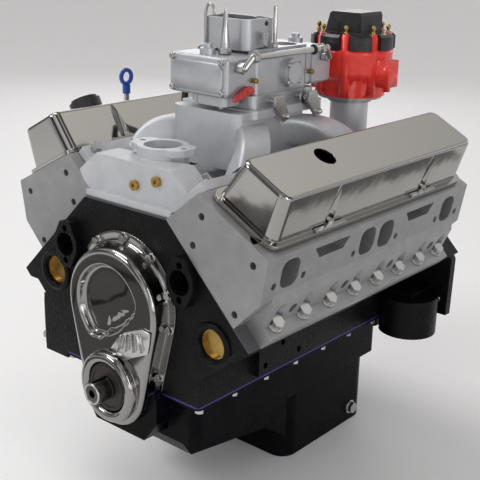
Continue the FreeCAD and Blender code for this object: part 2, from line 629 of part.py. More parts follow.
def cylinder_head(label, side):
    head = Casting(label)
    foot = "deck_height + gasket_thick"
    section = [("-head_in", foot), ("head_foot", foot), ("head_knee_u", "head_knee_v"),
               ("rail_out_u", "rail_out_v"), ("-rail_in_u", "rail_in_v")]
    head.add("front", [section], "-head_length / 2", "head_length")
    ledge = [("head_foot - 5", foot), ("ledge_out", foot), ("ledge_out", "ledge_top"),
             ("ledge_out - 17", "ledge_top + 1"), ("head_knee_u + 8", "head_knee_v - 4"),
             ("head_knee_u - 6", "head_knee_v + 7")]
    head.add("front", [ledge], "-head_length / 2 + ledge_back", "head_length - 2 * ledge_back")
    rows = [f"({k} - 1.5) * bore_spacing" for k in range(4)]
    valves = [(f"{row} + {way} * valve_half", kind)
              for row, way, kind in zip([r for r in rows for _ in (0, 1)], (-1, 1) * 4, "eiieeiie")]
    head.cut("top", [circle("0", row, "chamber_dia / 2") for row in rows], f"{foot} - 1",
             "chamber_deep + 1")
    # the well under the valve cover, and the spot faces of its bolts
    rail = ("(rail_out_u - rail_in_u) / 2", "0", "(rail_out_v + rail_in_v) / 2")
    rail_tilt = "-atan((rail_out_v - rail_in_v) / (rail_out_u + rail_in_u))"
    head.cut("top", [rounded(box("0", "0", "2 * cover_flange_half - 26", "head_length - 42"), "12")],
             "-rocker_well", "rocker_well + 8", at=rail, tilt=rail_tilt)
    outer = [circle("ledge_bolt_u", f"({k} - 3.5) * bore_spacing / 2", "head_bolt_dia / 2 + bolt_gap")
             for k in range(8)]
    inner = [("-mid_bolt_u", f"({k} - 2) * bore_spacing") for k in range(5)]
    inner += [("-boss_u", row) for row in rows]
    head.cut("top", outer, f"{foot} - 1", "40")
    head.cut("top", [circle(x, y, "head_bolt_dia / 2 + bolt_gap") for x, y in inner], f"{foot} - 1", "80")
    head.cut("top", [circle(x, y, "spot_r") for x, y in inner], "spot_v", "40")
    spots = [circle("ledge_bolt_u", f"({k} - 3.5) * bore_spacing / 2", "spot_r") for k in range(8)]
    head.cut("top", spots, "ledge_top", "40")
    # valve pockets and guides, pushrod passages
    lean = ("valve_u", "0", "valve_v")
    for kind, wide in (("i", "intake_valve_dia"), ("e", "exhaust_valve_dia")):
        seats = [circle("0", y, f"{wide} / 2 + 0.5") for y, k in valves if k == kind]
        head.cut("top", seats, "-24", "25", at=lean, tilt="-valve_tilt")
    head.cut("top", [circle("0", y, "stem_dia / 2 + 0.1") for y, k in valves], "0", "90", at=lean,
             tilt="-valve_tilt")
    head.cut("top", [circle("0", y, "pushrod_dia / 2 + 1.5") for y, k in valves], "60", "150",
             at=(f"-cam_height * {HALF}", "0", "gallery_top"), tilt=pushrod_tilt())
    head.cut("top", [circle("0", y, "spring_r + 1") for y, k in valves], "spring_low", "26", at=lean,
             tilt="-valve_tilt")
    # ports, plug holes, pockets between the ports, and holes in the ends
    face = ("rail_out_u * 0.6 + head_knee_u * 0.4", "0", "rail_out_v * 0.4 + head_knee_v * 0.6")
    face_tilt = "atan((rail_out_v - head_knee_v) / (head_knee_u - rail_out_u))"
    centres = ["-outer_port", "-siamese_half", "siamese_half", "outer_port"]
    ports = [rounded(box("-3", y, "exhaust_tall", "exhaust_wide"), "13") for y in centres]
    head.cut("top", ports, "-34", "50", at=face, tilt=face_tilt)
    bolts = [circle("8", f"{y} + {way} * 29", "4.7") for y in ("-outer_port", "outer_port") for way in (-1, 1)]
    bolts += [circle("8", f"{way} * 52", "4.7") for way in (-1, 1)]
    head.cut("top", bolts, "-16", "30", at=face, tilt=face_tilt)
    for way in (-1, 1):
        middle = f"{way} * (outer_port + siamese_half) / 2"
        pocket = [("-23", f"{middle} - 38"), ("-23", f"{middle} + 38"), ("-8", f"{middle} + 26"),
                  ("-8", f"{middle} - 26")]
        head.cut("top", [pocket], "-14", "30", at=face, tilt=face_tilt)
    plugs = [circle("0", f"({k} - 1.5) * bore_spacing", "plug_hole_dia / 2") for k in range(4)]
    head.cut("top", plugs, "-30", "50", at=("ledge_out - 23", "0", "ledge_top + 17"), tilt="68")
    sides = [rounded(box("0", f"{way} * bore_spacing + {step} * intake_port_half", "intake_port_tall",
                         "intake_port_wide"), "5") for way in (-1, 1) for step in (-1, 1)]
    head.cut("top", sides, "-22", "50", at=intake_face(), tilt=intake_tilt())
    crossing = [rounded(box("0", f"{way} * (head_length / 2 - 34)", "26", "22"), "6") for way in (-1, 1)]
    head.cut("top", crossing, "-20", "50", at=intake_face(), tilt=intake_tilt())
    bolts = [circle(x, f"{way} * {y}", "4.7") for way in (-1, 1) for x, y in INTAKE_BOLTS]
    head.cut("top", bolts, "-22", "50", at=intake_face(), tilt=intake_tilt())
    ends = [circle("-88", "284", "4.8"), circle("-70", "246", "4.8"), circle("0", "312", "4.8"),
            circle("30", "244", "4.8")]
    head.cut("front", ends, "head_length / 2 - 20", "21")
    head.cut("front", ends, "-head_length / 2 - 1", "21")
    return head.finish(head_place(side))


INTAKE_BOLTS = [("23", "54"), ("23", "204"), ("-23", "168")]


def intake_face():
    return ("-(head_in + rail_in_u) / 2", "0", "(deck_height + gasket_thick + rail_in_v) / 2")


def intake_tilt():
    return "-90 deg + atan((head_in - rail_in_u) / (rail_in_v - deck_height - gasket_thick))"


def pushrod_tilt():
    return f"-atan((pushrod_tip_u - cam_height * {HALF}) / (pushrod_tip_v - gallery_top))"


def rail_place(side, rise=0.0):
    """On the cover rail of a bank: x outward along the rail, z away from it."""
    lean = math.degrees(math.atan2(size("rail_out_v - rail_in_v"), size("rail_out_u + rail_in_u")))
    out = Rotation(Vector(0, 1, 0), side * (size("bank_angle") - lean))
    spot = bank_place(side, size("(rail_out_u - rail_in_u) / 2"), size("(rail_out_v + rail_in_v) / 2"),
                      size(bank_back(side))).Base
    if side < 0:
        out = out.multiply(Rotation(Vector(0, 0, 1), 180))
    return Placement(spot + out.multVec(Vector(0, 0, rise)), out)


COVER_NOTCHES = ["-notch_reach", "notch_reach"]


def valve_cover(label, side):
    cover = Piece(label)
    wedge = [("-cover_base_half", "cover_flange_thick - 1"), ("cover_base_half", "cover_flange_thick - 1"),
             ("cover_top_half", "cover_high"), ("-cover_top_half", "cover_high")]
    cover.add("front", [wedge], "-cover_base_long", "2 * cover_base_long")
    cover.soften(lambda edge: edge.BoundBox.ZLength > 40, "14")
    cover.soften(lambda edge: edge.BoundBox.ZMin > size("cover_high") - 0.1, "6")
    cover.add("top", [rounded(box("0", "0", "2 * cover_flange_half", "2 * cover_flange_long"), "17")],
              "0", "cover_flange_thick")
    cover.cut("top", [well_outline("cover_base_half - 9", "cover_base_half - 19")], "-1", "36")
    cover.cut("top", [well_outline("cover_top_half - 3.5", "cover_top_half - 8")], "34",
              "cover_high - 37")
    notches = [circle(f"{way} * (cover_base_half - 1)", y, "notch_r") for y in COVER_NOTCHES for way in (-1, 1)]
    cover.cut("top", notches, "cover_flange_thick", "cover_high")
    vent = ("-vent_in", "-vent_reach") if side > 0 else ("0", "breather_reach")
    cover.cut("top", [circle(*vent, "grommet_dia / 2")], "cover_high - 10", "20")
    cover.body.Placement = rail_place(side, size("cover_gasket_thick"))
    return cover


def well_outline(half, narrow):
    """The hollow of a cover, drawn in round its notches."""
    reach, long = "16", "cover_top_long - 5"
    right = [(half, f"-({long})")]
    for y in COVER_NOTCHES:
        right += [(half, f"{y} - {reach}"), (narrow, f"{y} - {reach} + 6"), (narrow, f"{y} + {reach} - 6"),
                  (half, f"{y} + {reach}")]
    right.append((half, long))
    return right + [(f"-({x})", y) for x, y in reversed(right)]


PHASES = [0, 90, 270, 180]


def core_plugs():
    """Pressed cups in the block's water openings, and the camshaft tunnel's rear plug."""
    radius = size("core_plug_dia / 2")
    deep = size("core_depth - 2")
    cup = rod(radius, (0, 0, 0), (0, 0, deep)).cut(rod(radius - 3, (0, 0, 1.5), (0, 0, deep + 1)))
    cup = cup.makeFillet(1.2, [edge for edge in cup.Edges
                               if edge.BoundBox.ZMin > deep - 0.1 and edge.BoundBox.XMax > radius - 0.1])
    ahead = facing((0, -1, 0))
    front = size("block_length - core_depth")
    places = [Placement(Vector(size("core_left_x"), -front, size("core_left_z")), ahead),
              Placement(Vector(-size("core_right_x"), -front, size("core_right_z")), ahead)]
    for side in (1, -1):
        spot = [size(text) for text in side_spot(side)]
        for k in range(3):
            back = size(bore_back(side, k)) - size("bore_spacing / 2")
            places.append(Placement(Vector(spot[0], -back, spot[2]),
                                    facing((side * size(HALF), 0, -size(HALF)))))
    plugs = copies(cup, places)
    rear = rod(size("cam_seat_dia / 2 - seat_gap"), (0, 0, size("cam_height")), (0, -6, size("cam_height")))
    return keep_shape("core_plugs", Part.makeCompound(plugs.Solids + [rear]))


def ring(outer, inner, z, start, end):
    """A lengthwise bush about (0, z), between two distances forward."""
    return rod(outer, (0, -start, z), (0, -end, z)).cut(rod(inner, (0, 1 - start, z), (0, -end - 1, z)))


def plain_bearings():
    shells = []
    for k in range(-1, 4):
        middle, half = size(main_back(k)), size("bearing_wide / 2")
        shells.append(ring(size("main_seat_dia / 2 - seat_gap"), size("main_dia / 2 + run_gap"), 0,
                           middle - half, middle + half))
        shells.append(ring(size("cam_seat_dia / 2 - seat_gap"), size("cam_journal_dia / 2 + run_gap"),
                           size("cam_height"), middle - half + 1, middle + half - 1))
    return keep_shape("plain_bearings", Part.makeCompound(shells))


def main_bearing_caps():
    """Four caps in the bays, and a rear one that also closes the sump's rear end."""
    caps = Casting("main_bearing_caps")
    outline = [("-cap_half", "0"), ("cap_half", "0"), ("cap_half", "-cap_deep + 14"),
               ("cap_half - 14", "-cap_deep"), ("-cap_half + 14", "-cap_deep"),
               ("-cap_half", "-cap_deep + 14")]
    for k in range(-1, 3):
        caps.add("front", [outline], f"{main_back(k)} - bearing_wide / 2", "bearing_wide")
    caps.add("front", [outline], "pan_rear + 10", "last_web_front - 1 - pan_rear - 10")
    caps.add("front", [[("-cap_half + 12", "0"), ("cap_half - 12", "0"), ("cap_half - 12", "-cap_deep"),
                        ("-cap_half + 12", "-cap_deep")]], "pan_rear - 2", "14")
    caps.cut("front", [circle("0", "0", "main_seat_dia / 2")], "0", "block_length")
    holes = [circle(f"{side} * cap_bolt_x", f"-{main_back(k)}", "cap_bolt_dia / 2 + bolt_gap")
             for side in (1, -1) for k in range(-1, 4)]
    caps.cut("top", holes, "-cap_deep - 1", "cap_deep + 2")
    return caps.finish()


def main_cap_bolts():
    turned = Rotation(Vector(1, 0, 0), 180)
    places = [Placement(Vector(side * size("cap_bolt_x"), -size(main_back(k)), -size("cap_deep")), turned)
              for side in (1, -1) for k in range(-1, 4)]
    shape = bolt(17, 9, size("cap_bolt_dia / 2"), size("cap_deep") + 34)
    return keep_shape("main_cap_bolts", copies(shape, places))


def crankshaft():
    crank = Casting("crankshaft")
    for k in range(-1, 4):
        crank.add("front", [circle("0", "0", "main_dia / 2")],
                  f"{main_back(k)} - web_thick / 2 - cheek_gap", "web_thick + 2 * cheek_gap")
    reach = "bore_spacing / 2 - web_thick / 2 - cheek_gap"
    for k, phase in enumerate(PHASES):
        angle = phase + 45
        x, z = f"stroke / 2 * sin({angle})", f"stroke / 2 * cos({angle})"
        crank.add("front", [circle(x, z, "pin_dia / 2")], f"{pin_back(k)} - pin_half - 1", "2 * pin_half + 2")
        crank.add("front", [("cheek", angle)], f"{pin_back(k)} + pin_half", f"{reach} - pin_half")
        if k < 3:
            crank.add("front", [("cheek", angle)], f"{pin_back(k)} - ({reach})", f"{reach} - pin_half")
        else:
            crank.add("front", [("cheek", angle)], "last_web_front + 8.5",
                      f"{pin_back(k)} - pin_half - last_web_front - 8.5")
    crank.add("front", [circle("0", "0", "main_dia / 2")], "4", "last_web_front + 6")
    crank.add("front", [circle("0", "0", "crank_flange_dia / 2")], "0", "12")
    nose = main_back(-1)
    crank.add("front", [circle("0", "0", "main_dia / 2 - 4")], f"{nose}", f"block_length + 1 - {nose}")
    crank.add("front", [circle("0", "0", "snout_dia / 2 + snout_step")], "block_length",
              "seal_front + 1 - block_length")
    crank.add("front", [circle("0", "0", "snout_dia / 2")], "block_length", "snout_front - block_length")
    crank.cut("front", [box("0", "snout_dia / 2", "4.8", "6")], "snout_front - 40", "41")
    crank.cut("front", [circle("0", "0", "5.6")], "snout_front - 40", "41")
    crank.cut("front", [circle("0", "0", "pilot_dia / 2")], "-1", "pilot_deep + 1")
    holes = [circle(f"crank_bolt_circle / 2 * sin({angle})", f"crank_bolt_circle / 2 * cos({angle})", "5.6")
             for angle in range(0, 360, 60)]
    crank.cut("front", holes, "-1", "14")
    return crank.finish()


def camshaft():
    cam = Casting("camshaft")
    for k in range(-1, 4):
        cam.add("front", [circle("0", "cam_height", "cam_journal_dia / 2")],
                f"{main_back(k)} - bearing_wide / 2", "bearing_wide")
    start = f"{main_back(3)} - bearing_wide / 2"
    cam.add("front", [circle("0", "cam_height", "15")], start, f"sprocket_front - sprocket_thick - ({start})")
    cam.add("front", [circle("0", "cam_height", "24")], "block_length + 0.5",
            "sprocket_front - sprocket_thick - block_length - 0.5")
    cam.add("front", [circle("0", "cam_height", "spark_x - spark_gear_r - 0.4")], "spark_back - 3.4", "6.8")
    for side in (1, -1):
        for k, phase in enumerate(PHASES):
            for way in (-1, 1):
                angle = phase * 0.5 + side * 45 + way * 55 + 90
                cam.add("front", [("egg", "cam_height", angle, "lobe_base_r", "lobe_reach", "lobe_nose_r")],
                        f"{bore_back(side, k)} + {way} * valve_half - lobe_wide / 2", "lobe_wide")
    return cam.finish()


def piston_reach(side, number):
    """How high in its bank a piston's pin stands, with the crankshaft at rest."""
    angle = math.radians(PHASES[number] + (0 if side > 0 else 90))
    throw, rod_long = size("stroke / 2"), size("rod_length")
    return throw * math.cos(angle) + math.sqrt(rod_long ** 2 - (throw * math.sin(angle)) ** 2)


def piston(side, number):
    made = Casting(f"piston_{2 * number + (1 if side > 0 else 2)}")
    body, low, high = "bore_dia / 2 - 0.08", "-skirt_drop", "crown_rise"
    outline = [("0", low), (body, low)]
    for k in (3, 2, 1):
        groove = f"{high} - {6.5 * k}"
        outline += [(body, f"{groove} - 1.2"), (f"{body} - 3", f"{groove} - 1.2"),
                    (f"{body} - 3", f"{groove} + 1.2"), (body, f"{groove} + 1.2")]
    outline += [(body, f"{high} - 1"), (f"{body} - 1", high), ("0", high)]
    made.spin(outline)
    made.cut("top", [rounded(box("0", "0", "76", "rod_wide + 4"), "6")], f"{low} - 1", "skirt_drop + 27")
    for way in (1, -1):
        made.cut("top", [rounded(box(f"{way} * 29", "0", "18", "56"), "6")], f"{low} - 1", "skirt_drop + 25")
    whole = made.finish()
    PARTS.remove(whole)
    pin = doc.addObject("Part::Cylinder", f"{made.label}_pin")
    bind(pin, "Radius", "wrist_dia / 2")
    bind(pin, "Height", "bore_dia - 12")
    pin.Placement = Placement(Vector(0, size("bore_dia / 2 - 6"), 0), Rotation(Vector(1, 0, 0), 90))
    joined = doc.addObject("Part::MultiFuse", f"{made.label}_with_pin")
    whole.Label = f"{made.label} without its pin"
    joined.Shapes = [whole, pin]
    joined.Label = made.label
    joined.Placement = bank_place(side, 0, piston_reach(side, number), size(bore_back(side, number)))
    PARTS.append(joined)
    return joined


def connecting_rods():
    rods = []
    for side in (1, -1):
        for k, phase in enumerate(PHASES):
            angle = phase + (0 if side > 0 else 90)
            pin = Vector(*heading(angle)) * size("stroke / 2")
            high = piston_reach(side, k)
            wide, long = size("rod_wide"), size("rod_length")
            run = Vector(-pin.x, high - pin.y, 0)
            lean = math.degrees(math.atan2(run.x, run.y))
            big = rod(38, (0, -wide / 2, 0), (0, wide / 2, 0))
            small = rod(18, (0, -wide / 2, long), (0, wide / 2, long))
            beam = slab([(-15, 0, 20), (15, 0, 20), (12, 0, long - 8), (-12, 0, long - 8)], (0, -6, 0),
                        (0, 12, 0))
            shape = big.fuse([small, beam])
            shape = shape.cut(rod(size("pin_dia / 2 + 0.1"), (0, -20, 0), (0, 20, 0)))
            shape = shape.cut(rod(size("wrist_dia / 2 + 0.08"), (0, -20, long), (0, 20, long)))
            bank = bank_place(side, 0, 0, size(bore_back(side, k)))
            local = Placement(Vector(pin.x, 0, pin.y), Rotation(Vector(0, 1, 0), lean))
            shape.Placement = bank.multiply(local)
            rods.append(shape)
    return keep_shape("connecting_rods", Part.makeCompound(rods))


def pockets(teeth, z, start):
    """The roller pockets of a sprocket."""
    radius = f"chain_pitch / (2 * sin(180 / {teeth}))"
    return [circle(f"{radius} * sin({start} + {360 * k} / {teeth})",
                   f"{z} + {radius} * cos({start} + {360 * k} / {teeth})", "3.3") for k in range(SIZES[teeth])]


def sprocket(label, teeth, z, start, bore, hub):
    made = Casting(label)
    radius = f"chain_pitch / (2 * sin(180 / {teeth}))"
    back = "sprocket_front - sprocket_thick"
    made.add("front", [circle("0", z, f"{radius} + tooth_rise")], back, "sprocket_thick")
    made.add("front", [circle("0", z, hub)], "block_length + 1.5" if bore else back,
             "sprocket_front + 2 - block_length - 1.5" if bore else "sprocket_thick + 3")
    made.cut("front", pockets(teeth, z, start), f"{back} - 1", "sprocket_thick + 2")
    if bore:
        made.cut("front", [circle("0", z, bore)], "block_length", "20")
    else:
        windows = [circle(f"40 * sin({60 * k})", f"{z} + 40 * cos({60 * k})", "11") for k in range(6)]
        made.cut("front", windows, f"{back} - 1", "sprocket_thick + 2")
    return made.finish()


def timing_chain():
    pitch, z = size("chain_pitch"), size("cam_height")
    small, large = (pitch / (2 * math.sin(math.pi / SIZES[t])) for t in ("crank_teeth", "cam_teeth"))
    front, back = size("sprocket_front") + 0.4, size("sprocket_front - sprocket_thick") - 0.4
    spots = [Vector(0, z, 0) + heading(360 / SIZES["cam_teeth"] * k) * large for k in range(-13, 14)]
    spots += [heading(180 + 360 / SIZES["crank_teeth"] * k) * small for k in range(-5, 6)]
    for way in (1, -1):
        start = Vector(0, z, 0) + heading(way * 13 * 360 / SIZES["cam_teeth"]) * large
        end = heading(180 - way * 5 * 360 / SIZES["crank_teeth"]) * small
        spots += [start + (end - start) * (k / 10) for k in range(1, 10)]
    rollers = [rod(3.05, (p.x, -back, p.y), (p.x, -front, p.y)) for p in spots]
    bands = []
    for near, far in ((back - 1.6, back), (front, front + 1.6)):
        faces = []
        for grow in (4, -4):
            edges = keyhole_edges("0", str(small + grow), str(z), str(large + grow))
            faces.append(Part.Face(Part.Wire([edge.toShape() for edge in edges])))
        band = faces[0].cut(faces[1])
        band.rotate(Vector(), Vector(1, 0, 0), 90)
        band.translate(Vector(0, -near, 0))
        bands.append(band.extrude(Vector(0, near - far, 0)))
    chain = bands[0].fuse(bands[1:] + rollers)
    return keep_shape("timing_chain", chain)


def timing_cover():
    cover = Piece("timing_cover")
    back = "block_length"
    cover.add("front", [keyhole("0", "cover_neck_r + cover_foot", "cover_round_z",
                                "cover_round_r + cover_lip")], back, "cover_wall")
    cover.cut("front", [box("0", "-50", "240", "100")], f"{back} - 1", "cover_wall + 2")
    cover.add("front", [keyhole("0", "cover_neck_r", "cover_round_z", "cover_round_r")], back,
              f"cover_front - {back}")
    cover.soften(lambda edge: edge.BoundBox.YMax < -size("cover_front") + 0.1, "7")
    cover.cut("front", [keyhole("0", "cover_neck_r - cover_wall - 1", "cover_round_z",
                                "cover_round_r - cover_wall - 1")], f"{back} - 1",
              f"cover_front - 4 - {back} + 1")
    cover.add("front", [circle("0", "cover_round_z", "cover_round_r - 9"),
                        circle("0", "cover_round_z", "cover_round_r - 16")], "cover_front - 1", "3.5")
    cover.soften(lambda edge: edge.BoundBox.YMax < -size("cover_front") - 2, "2.2")
    cover.add("front", [circle("0", "0", "cover_neck_r - 9")], "cover_front - 2",
              "seal_front - cover_front + 2")
    cover.soften(lambda edge: edge.BoundBox.YMax < -size("seal_front") + 0.1, "3")
    cover.cut("front", [circle("0", "0", "seal_dia / 2")], "cover_front - 5", "seal_front - cover_front + 6")
    cover.cut("front", [keyhole("62", "26", "118", "46")], "cover_front - 1.8", "3")
    holes = [circle(x, z, "3.5") for x, z in cover_bolt_spots()]
    cover.cut("front", holes, f"{back} - 1", "cover_wall + 2")
    return cover


def cover_bolt_spots():
    spots = []
    for angle in (0, 36, 72, 104, -36, -72, -104):
        spots.append((f"(cover_round_r + cover_lip / 2 + 0.5) * sin({angle})",
                      f"cover_round_z + (cover_round_r + cover_lip / 2) * cos({angle})"))
    return spots + [("cover_neck_r + cover_foot + 4", "24"), ("-cover_neck_r - cover_foot - 4", "24")]


def deck_outline(holes):
    """A head gasket in a bank's own axes, lying on the deck."""
    length, deck = size("head_length"), size("deck_height")
    sheet_metal = Part.makeBox(size("deck_in + deck_out"), length, size("gasket_thick"),
                               Vector(-size("deck_in"), -length / 2, deck))
    for u, y, radius in holes:
        sheet_metal = sheet_metal.cut(rod(radius, (u, y, deck - 1), (u, y, deck + 3)))
    return sheet_metal


def head_bolt_spots():
    """(u, lengthwise, seat height) of a head's bolts, about the bank's middle."""
    step = size("bore_spacing")
    outer = [(size("ledge_bolt_u"), (k - 3.5) * step / 2, size("ledge_top")) for k in range(8)]
    inner = [(-size("mid_bolt_u"), (k - 2) * step, size("spot_v")) for k in range(5)]
    return outer + inner + [(-size("boss_u"), (k - 1.5) * step, size("spot_v")) for k in range(4)]


def bank_frame(side):
    """A bank's own axes, with u outward on either side and the origin at its middle."""
    turn = bank_turn(side)
    if side < 0:
        turn = turn.multiply(Rotation(Vector(0, 0, 1), 180))
    return Placement(Vector(0, -size(bank_back(side)), 0), turn)


def top_end_gaskets():
    """Head, valve cover and intake gaskets, and the seals on the block's end walls."""
    sheets = []
    step = size("bore_spacing")
    holes = [(0, (k - 1.5) * step, size("bore_dia / 2") + 1) for k in range(4)]
    holes += [(u, y, size("head_bolt_dia / 2 + bolt_gap")) for u, y, v in head_bolt_spots()
              if u > -size("deck_in") + 2]
    holes += [(-size("boss_u"), (k - 1.5) * step, size("head_bolt_dia / 2 + bolt_gap")) for k in range(4)]
    for side in (1, -1):
        sheets.append(copies(deck_outline(holes), [bank_frame(side)]))
        sheets.append(copies(cover_gasket(), [rail_place(side)]))
        sheets.append(intake_gasket(side))
    wall = size("end_wall")
    for start in (0, size("block_length") - wall):
        half = size("valley_seal_half")
        sheets.append(Part.makeBox(2 * half, wall - 2, size("intake_foot - end_wall_top"),
                                   Vector(-half, -start - wall + 1, size("end_wall_top"))))
    return keep_shape("top_end_gaskets", Part.makeCompound([s for c in sheets for s in c.Solids]))


def rounded_slab(half_x, half_y, radius, thick):
    outline = Part.makePolygon([Vector(x, y, 0) for x, y in
                                ((-half_x, -half_y), (half_x, -half_y), (half_x, half_y), (-half_x, half_y),
                                 (-half_x, -half_y))])
    block = Part.Face(outline).extrude(Vector(0, 0, thick))
    return block.makeFillet(radius, [edge for edge in block.Edges if edge.BoundBox.ZLength > thick / 2])


def cover_gasket():
    thick = size("cover_gasket_thick")
    outer = rounded_slab(size("cover_flange_half") - 1, size("cover_flange_long") - 1, 16, thick)
    inner = rounded_slab(size("cover_base_half") - 6, size("cover_base_long") - 8, 10, thick + 2)
    inner.translate(Vector(0, 0, -1))
    return outer.cut(inner)


def intake_plane(side, rise=0.0):
    """On a head's intake face: x up along the face on the left bank, z away from it."""
    u, v = (size(text) for text in (intake_face()[0], intake_face()[2]))
    lean = size(intake_tilt())
    turn = Rotation(Vector(0, 1, 0), side * (45 + lean))
    spot = bank_place(side, u, v, size(bank_back(side))).Base
    return Placement(spot + turn.multVec(Vector(0, 0, rise)), turn)


def face_tall():
    return math.hypot(size("rail_in_v - deck_height - gasket_thick"), size("head_in - rail_in_u"))


def intake_gasket(side):
    thick, tall, half = size("intake_gasket_thick"), face_tall(), size("intake_half")
    plate = Part.makeBox(tall - 2, 2 * half, thick, Vector(1 - tall / 2, -half, 0))
    for way in (-1, 1):
        for step in (-1, 1):
            middle = way * size("bore_spacing") + step * size("intake_port_half")
            port = rounded_slab(size("intake_port_tall / 2") + 1, size("intake_port_wide / 2") + 1, 5, 4)
            port.translate(Vector(0, middle, -1))
            plate = plate.cut(port)
        for x, y in INTAKE_BOLTS:
            x_spot, y_spot = side * float(x), way * float(y)
            plate = plate.cut(rod(4.9, (x_spot, y_spot, -1), (x_spot, y_spot, 4)))
    plate.Placement = intake_plane(side)
    return plate


def head_bolts():
    shape_long = size("head_bolt_dia / 2")
    made = []
    for side in (1, -1):
        for u, y, v in head_bolt_spots():
            shape = bolt(17, 8.5, shape_long, v - size("deck_height") + 27, 2.5)
            made.append(copies(shape, [bank_frame(side).multiply(Placement(Vector(u, y, v), Rotation()))]))
    return keep_shape("head_bolts", Part.makeCompound([s for c in made for s in c.Solids]))


def valve_spots():
    return [((k - 1.5) * size("bore_spacing") + way * size("valve_half"), kind)
            for (k, way), kind in zip([(k, way) for k in range(4) for way in (-1, 1)], "eiieeiie")]


def valve_frame():
    return Placement(Vector(size("valve_u"), 0, size("valve_v")),
                     Rotation(Vector(0, 1, 0), -size("valve_tilt")))


def valves_and_springs():
    made = []
    for y, kind in valve_spots():
        wide = size("intake_valve_dia / 2" if kind == "i" else "exhaust_valve_dia / 2")
        stem = rod(size("stem_dia / 2"), (0, 0, 0), (0, 0, size("stem_length")))
        head = rod(wide, (0, 0, -3), (0, 0, 1))
        low, high = size("spring_low"), size("stem_length") - 8
        coil = rod(size("spring_r"), (0, 0, low), (0, 0, high)).cut(rod(11, (0, 0, low - 1), (0, 0, high + 1)))
        cap = rod(size("spring_r"), (0, 0, high), (0, 0, high + 4))
        valve = stem.fuse([head, coil, cap])
        for side in (1, -1):
            local = Placement(Vector(0, y, 0), Rotation()).multiply(valve_frame())
            made.append(copies(valve, [bank_frame(side).multiply(local)]))
    return keep_shape("valves_and_springs", Part.makeCompound([s for c in made for s in c.Solids]))


def pushrod_foot():
    across = size(f"cam_height * {HALF}")
    return Vector(-across, 0, across + size("lobe_reach + lobe_nose_r") + 0.2)


def lifters_and_pushrods():
    made = []
    foot = pushrod_foot()
    tip = Vector(-size("pushrod_tip_u"), 0, size("pushrod_tip_v"))
    top = foot + Vector(0, 0, size("lifter_long"))
    lifter = rod(size("lifter_dia / 2 - run_gap"), foot, top)
    lifter = lifter.cut(rod(7, top - Vector(0, 0, 6), top + Vector(0, 0, 2)))
    shape = lifter.fuse(rod(size("pushrod_dia / 2"), top - Vector(0, 0, 6.5), tip))
    for y, kind in valve_spots():
        for side in (1, -1):
            made.append(copies(shape, [bank_frame(side).multiply(Placement(Vector(0, y, 0), Rotation()))]))
    return keep_shape("lifters_and_pushrods", Part.makeCompound([s for c in made for s in c.Solids]))


def rocker_arms():
    """Stamped rockers from the pushrods to the valve tips, each on its stud."""
    made = []
    start = Vector(-size("pushrod_tip_u"), 0, size("pushrod_tip_v") + 0.2)
    end = valve_frame().multVec(Vector(0, 0, size("stem_length"))) + Vector(0, 0, 1.9)
    middle = (start + end) * 0.5 + Vector(0, 0, 6)
    low = [start + Vector(-6, 0, 0), start + Vector(6, 0, 0), middle + Vector(0, 0, -4), end + Vector(-5, 0, 0),
           end + Vector(5, 0, 0)]
    high = [end + Vector(6, 0, 7), middle + Vector(0, 0, 8), start + Vector(-7, 0, 8)]
    corners = [tuple(p + Vector(0, -7, 0)) for p in low + high]
    slope = size("(rail_out_v - rail_in_v) / (rail_out_u + rail_in_u)")
    floor = size("rail_in_v + 1.5") + (size("rail_in_u") + middle.x) * slope
    floor -= size("rocker_well") * math.hypot(1, slope)
    arm = slab(corners, (0, 0, 0), (0, 14, 0))
    stud = rod(4.5, (middle.x, 0, floor), (middle.x, 0, middle.z + 16))
    nut = hexagon(14, 8)
    nut.translate(Vector(middle.x, 0, middle.z + 7.5))
    shape = arm.fuse([stud, nut])
    for y, kind in valve_spots():
        for side in (1, -1):
            made.append(copies(shape, [bank_frame(side).multiply(Placement(Vector(0, y, 0), Rotation()))]))
    return keep_shape("rocker_arms", Part.makeCompound([s for c in made for s in c.Solids]))


def valve_cover_bolts():
    """A bolt in each notch of a cover, over a spreader bar on its flange."""
    made = []
    x = size("cover_base_half") + 1.5
    for side in (1, -1):
        top = rail_place(side, size("cover_gasket_thick + cover_flange_thick"))
        for way in (-1, 1):
            for reach in (-1, 1):
                bar = Part.makeBox(5.5, 62, 3, Vector(x - 0.9, -31, 0))
                bar = bar.fuse(rod(6.5, (x - 2, 0, 0), (x - 2, 0, 3)))
                screw = hexagon(9, 6)
                screw.translate(Vector(x - 2, 0, 3))
                shape = bar.fuse(screw)
                turn = Rotation(Vector(0, 0, 1), 0 if way > 0 else 180)
                spot = Placement(Vector(0, reach * size("notch_reach"), 0), turn)
                made.append(copies(shape, [top.multiply(spot)]))
    return keep_shape("valve_cover_bolts", Part.makeCompound([s for c in made for s in c.Solids]))


def section_wire(centre, normal, wide, tall, radius=8):
    """A rounded rectangle across a runner: wide runs lengthwise."""
    block = rounded_slab(tall / 2, wide / 2, radius, 1)
    face = min(block.Faces, key=lambda f: f.CenterOfMass.z)
    wire = face.OuterWire
    lean = math.degrees(math.atan2(normal[0], normal[2]))
    wire.Placement = Placement(Vector(*centre), Rotation(Vector(0, 1, 0), lean))
    return wire


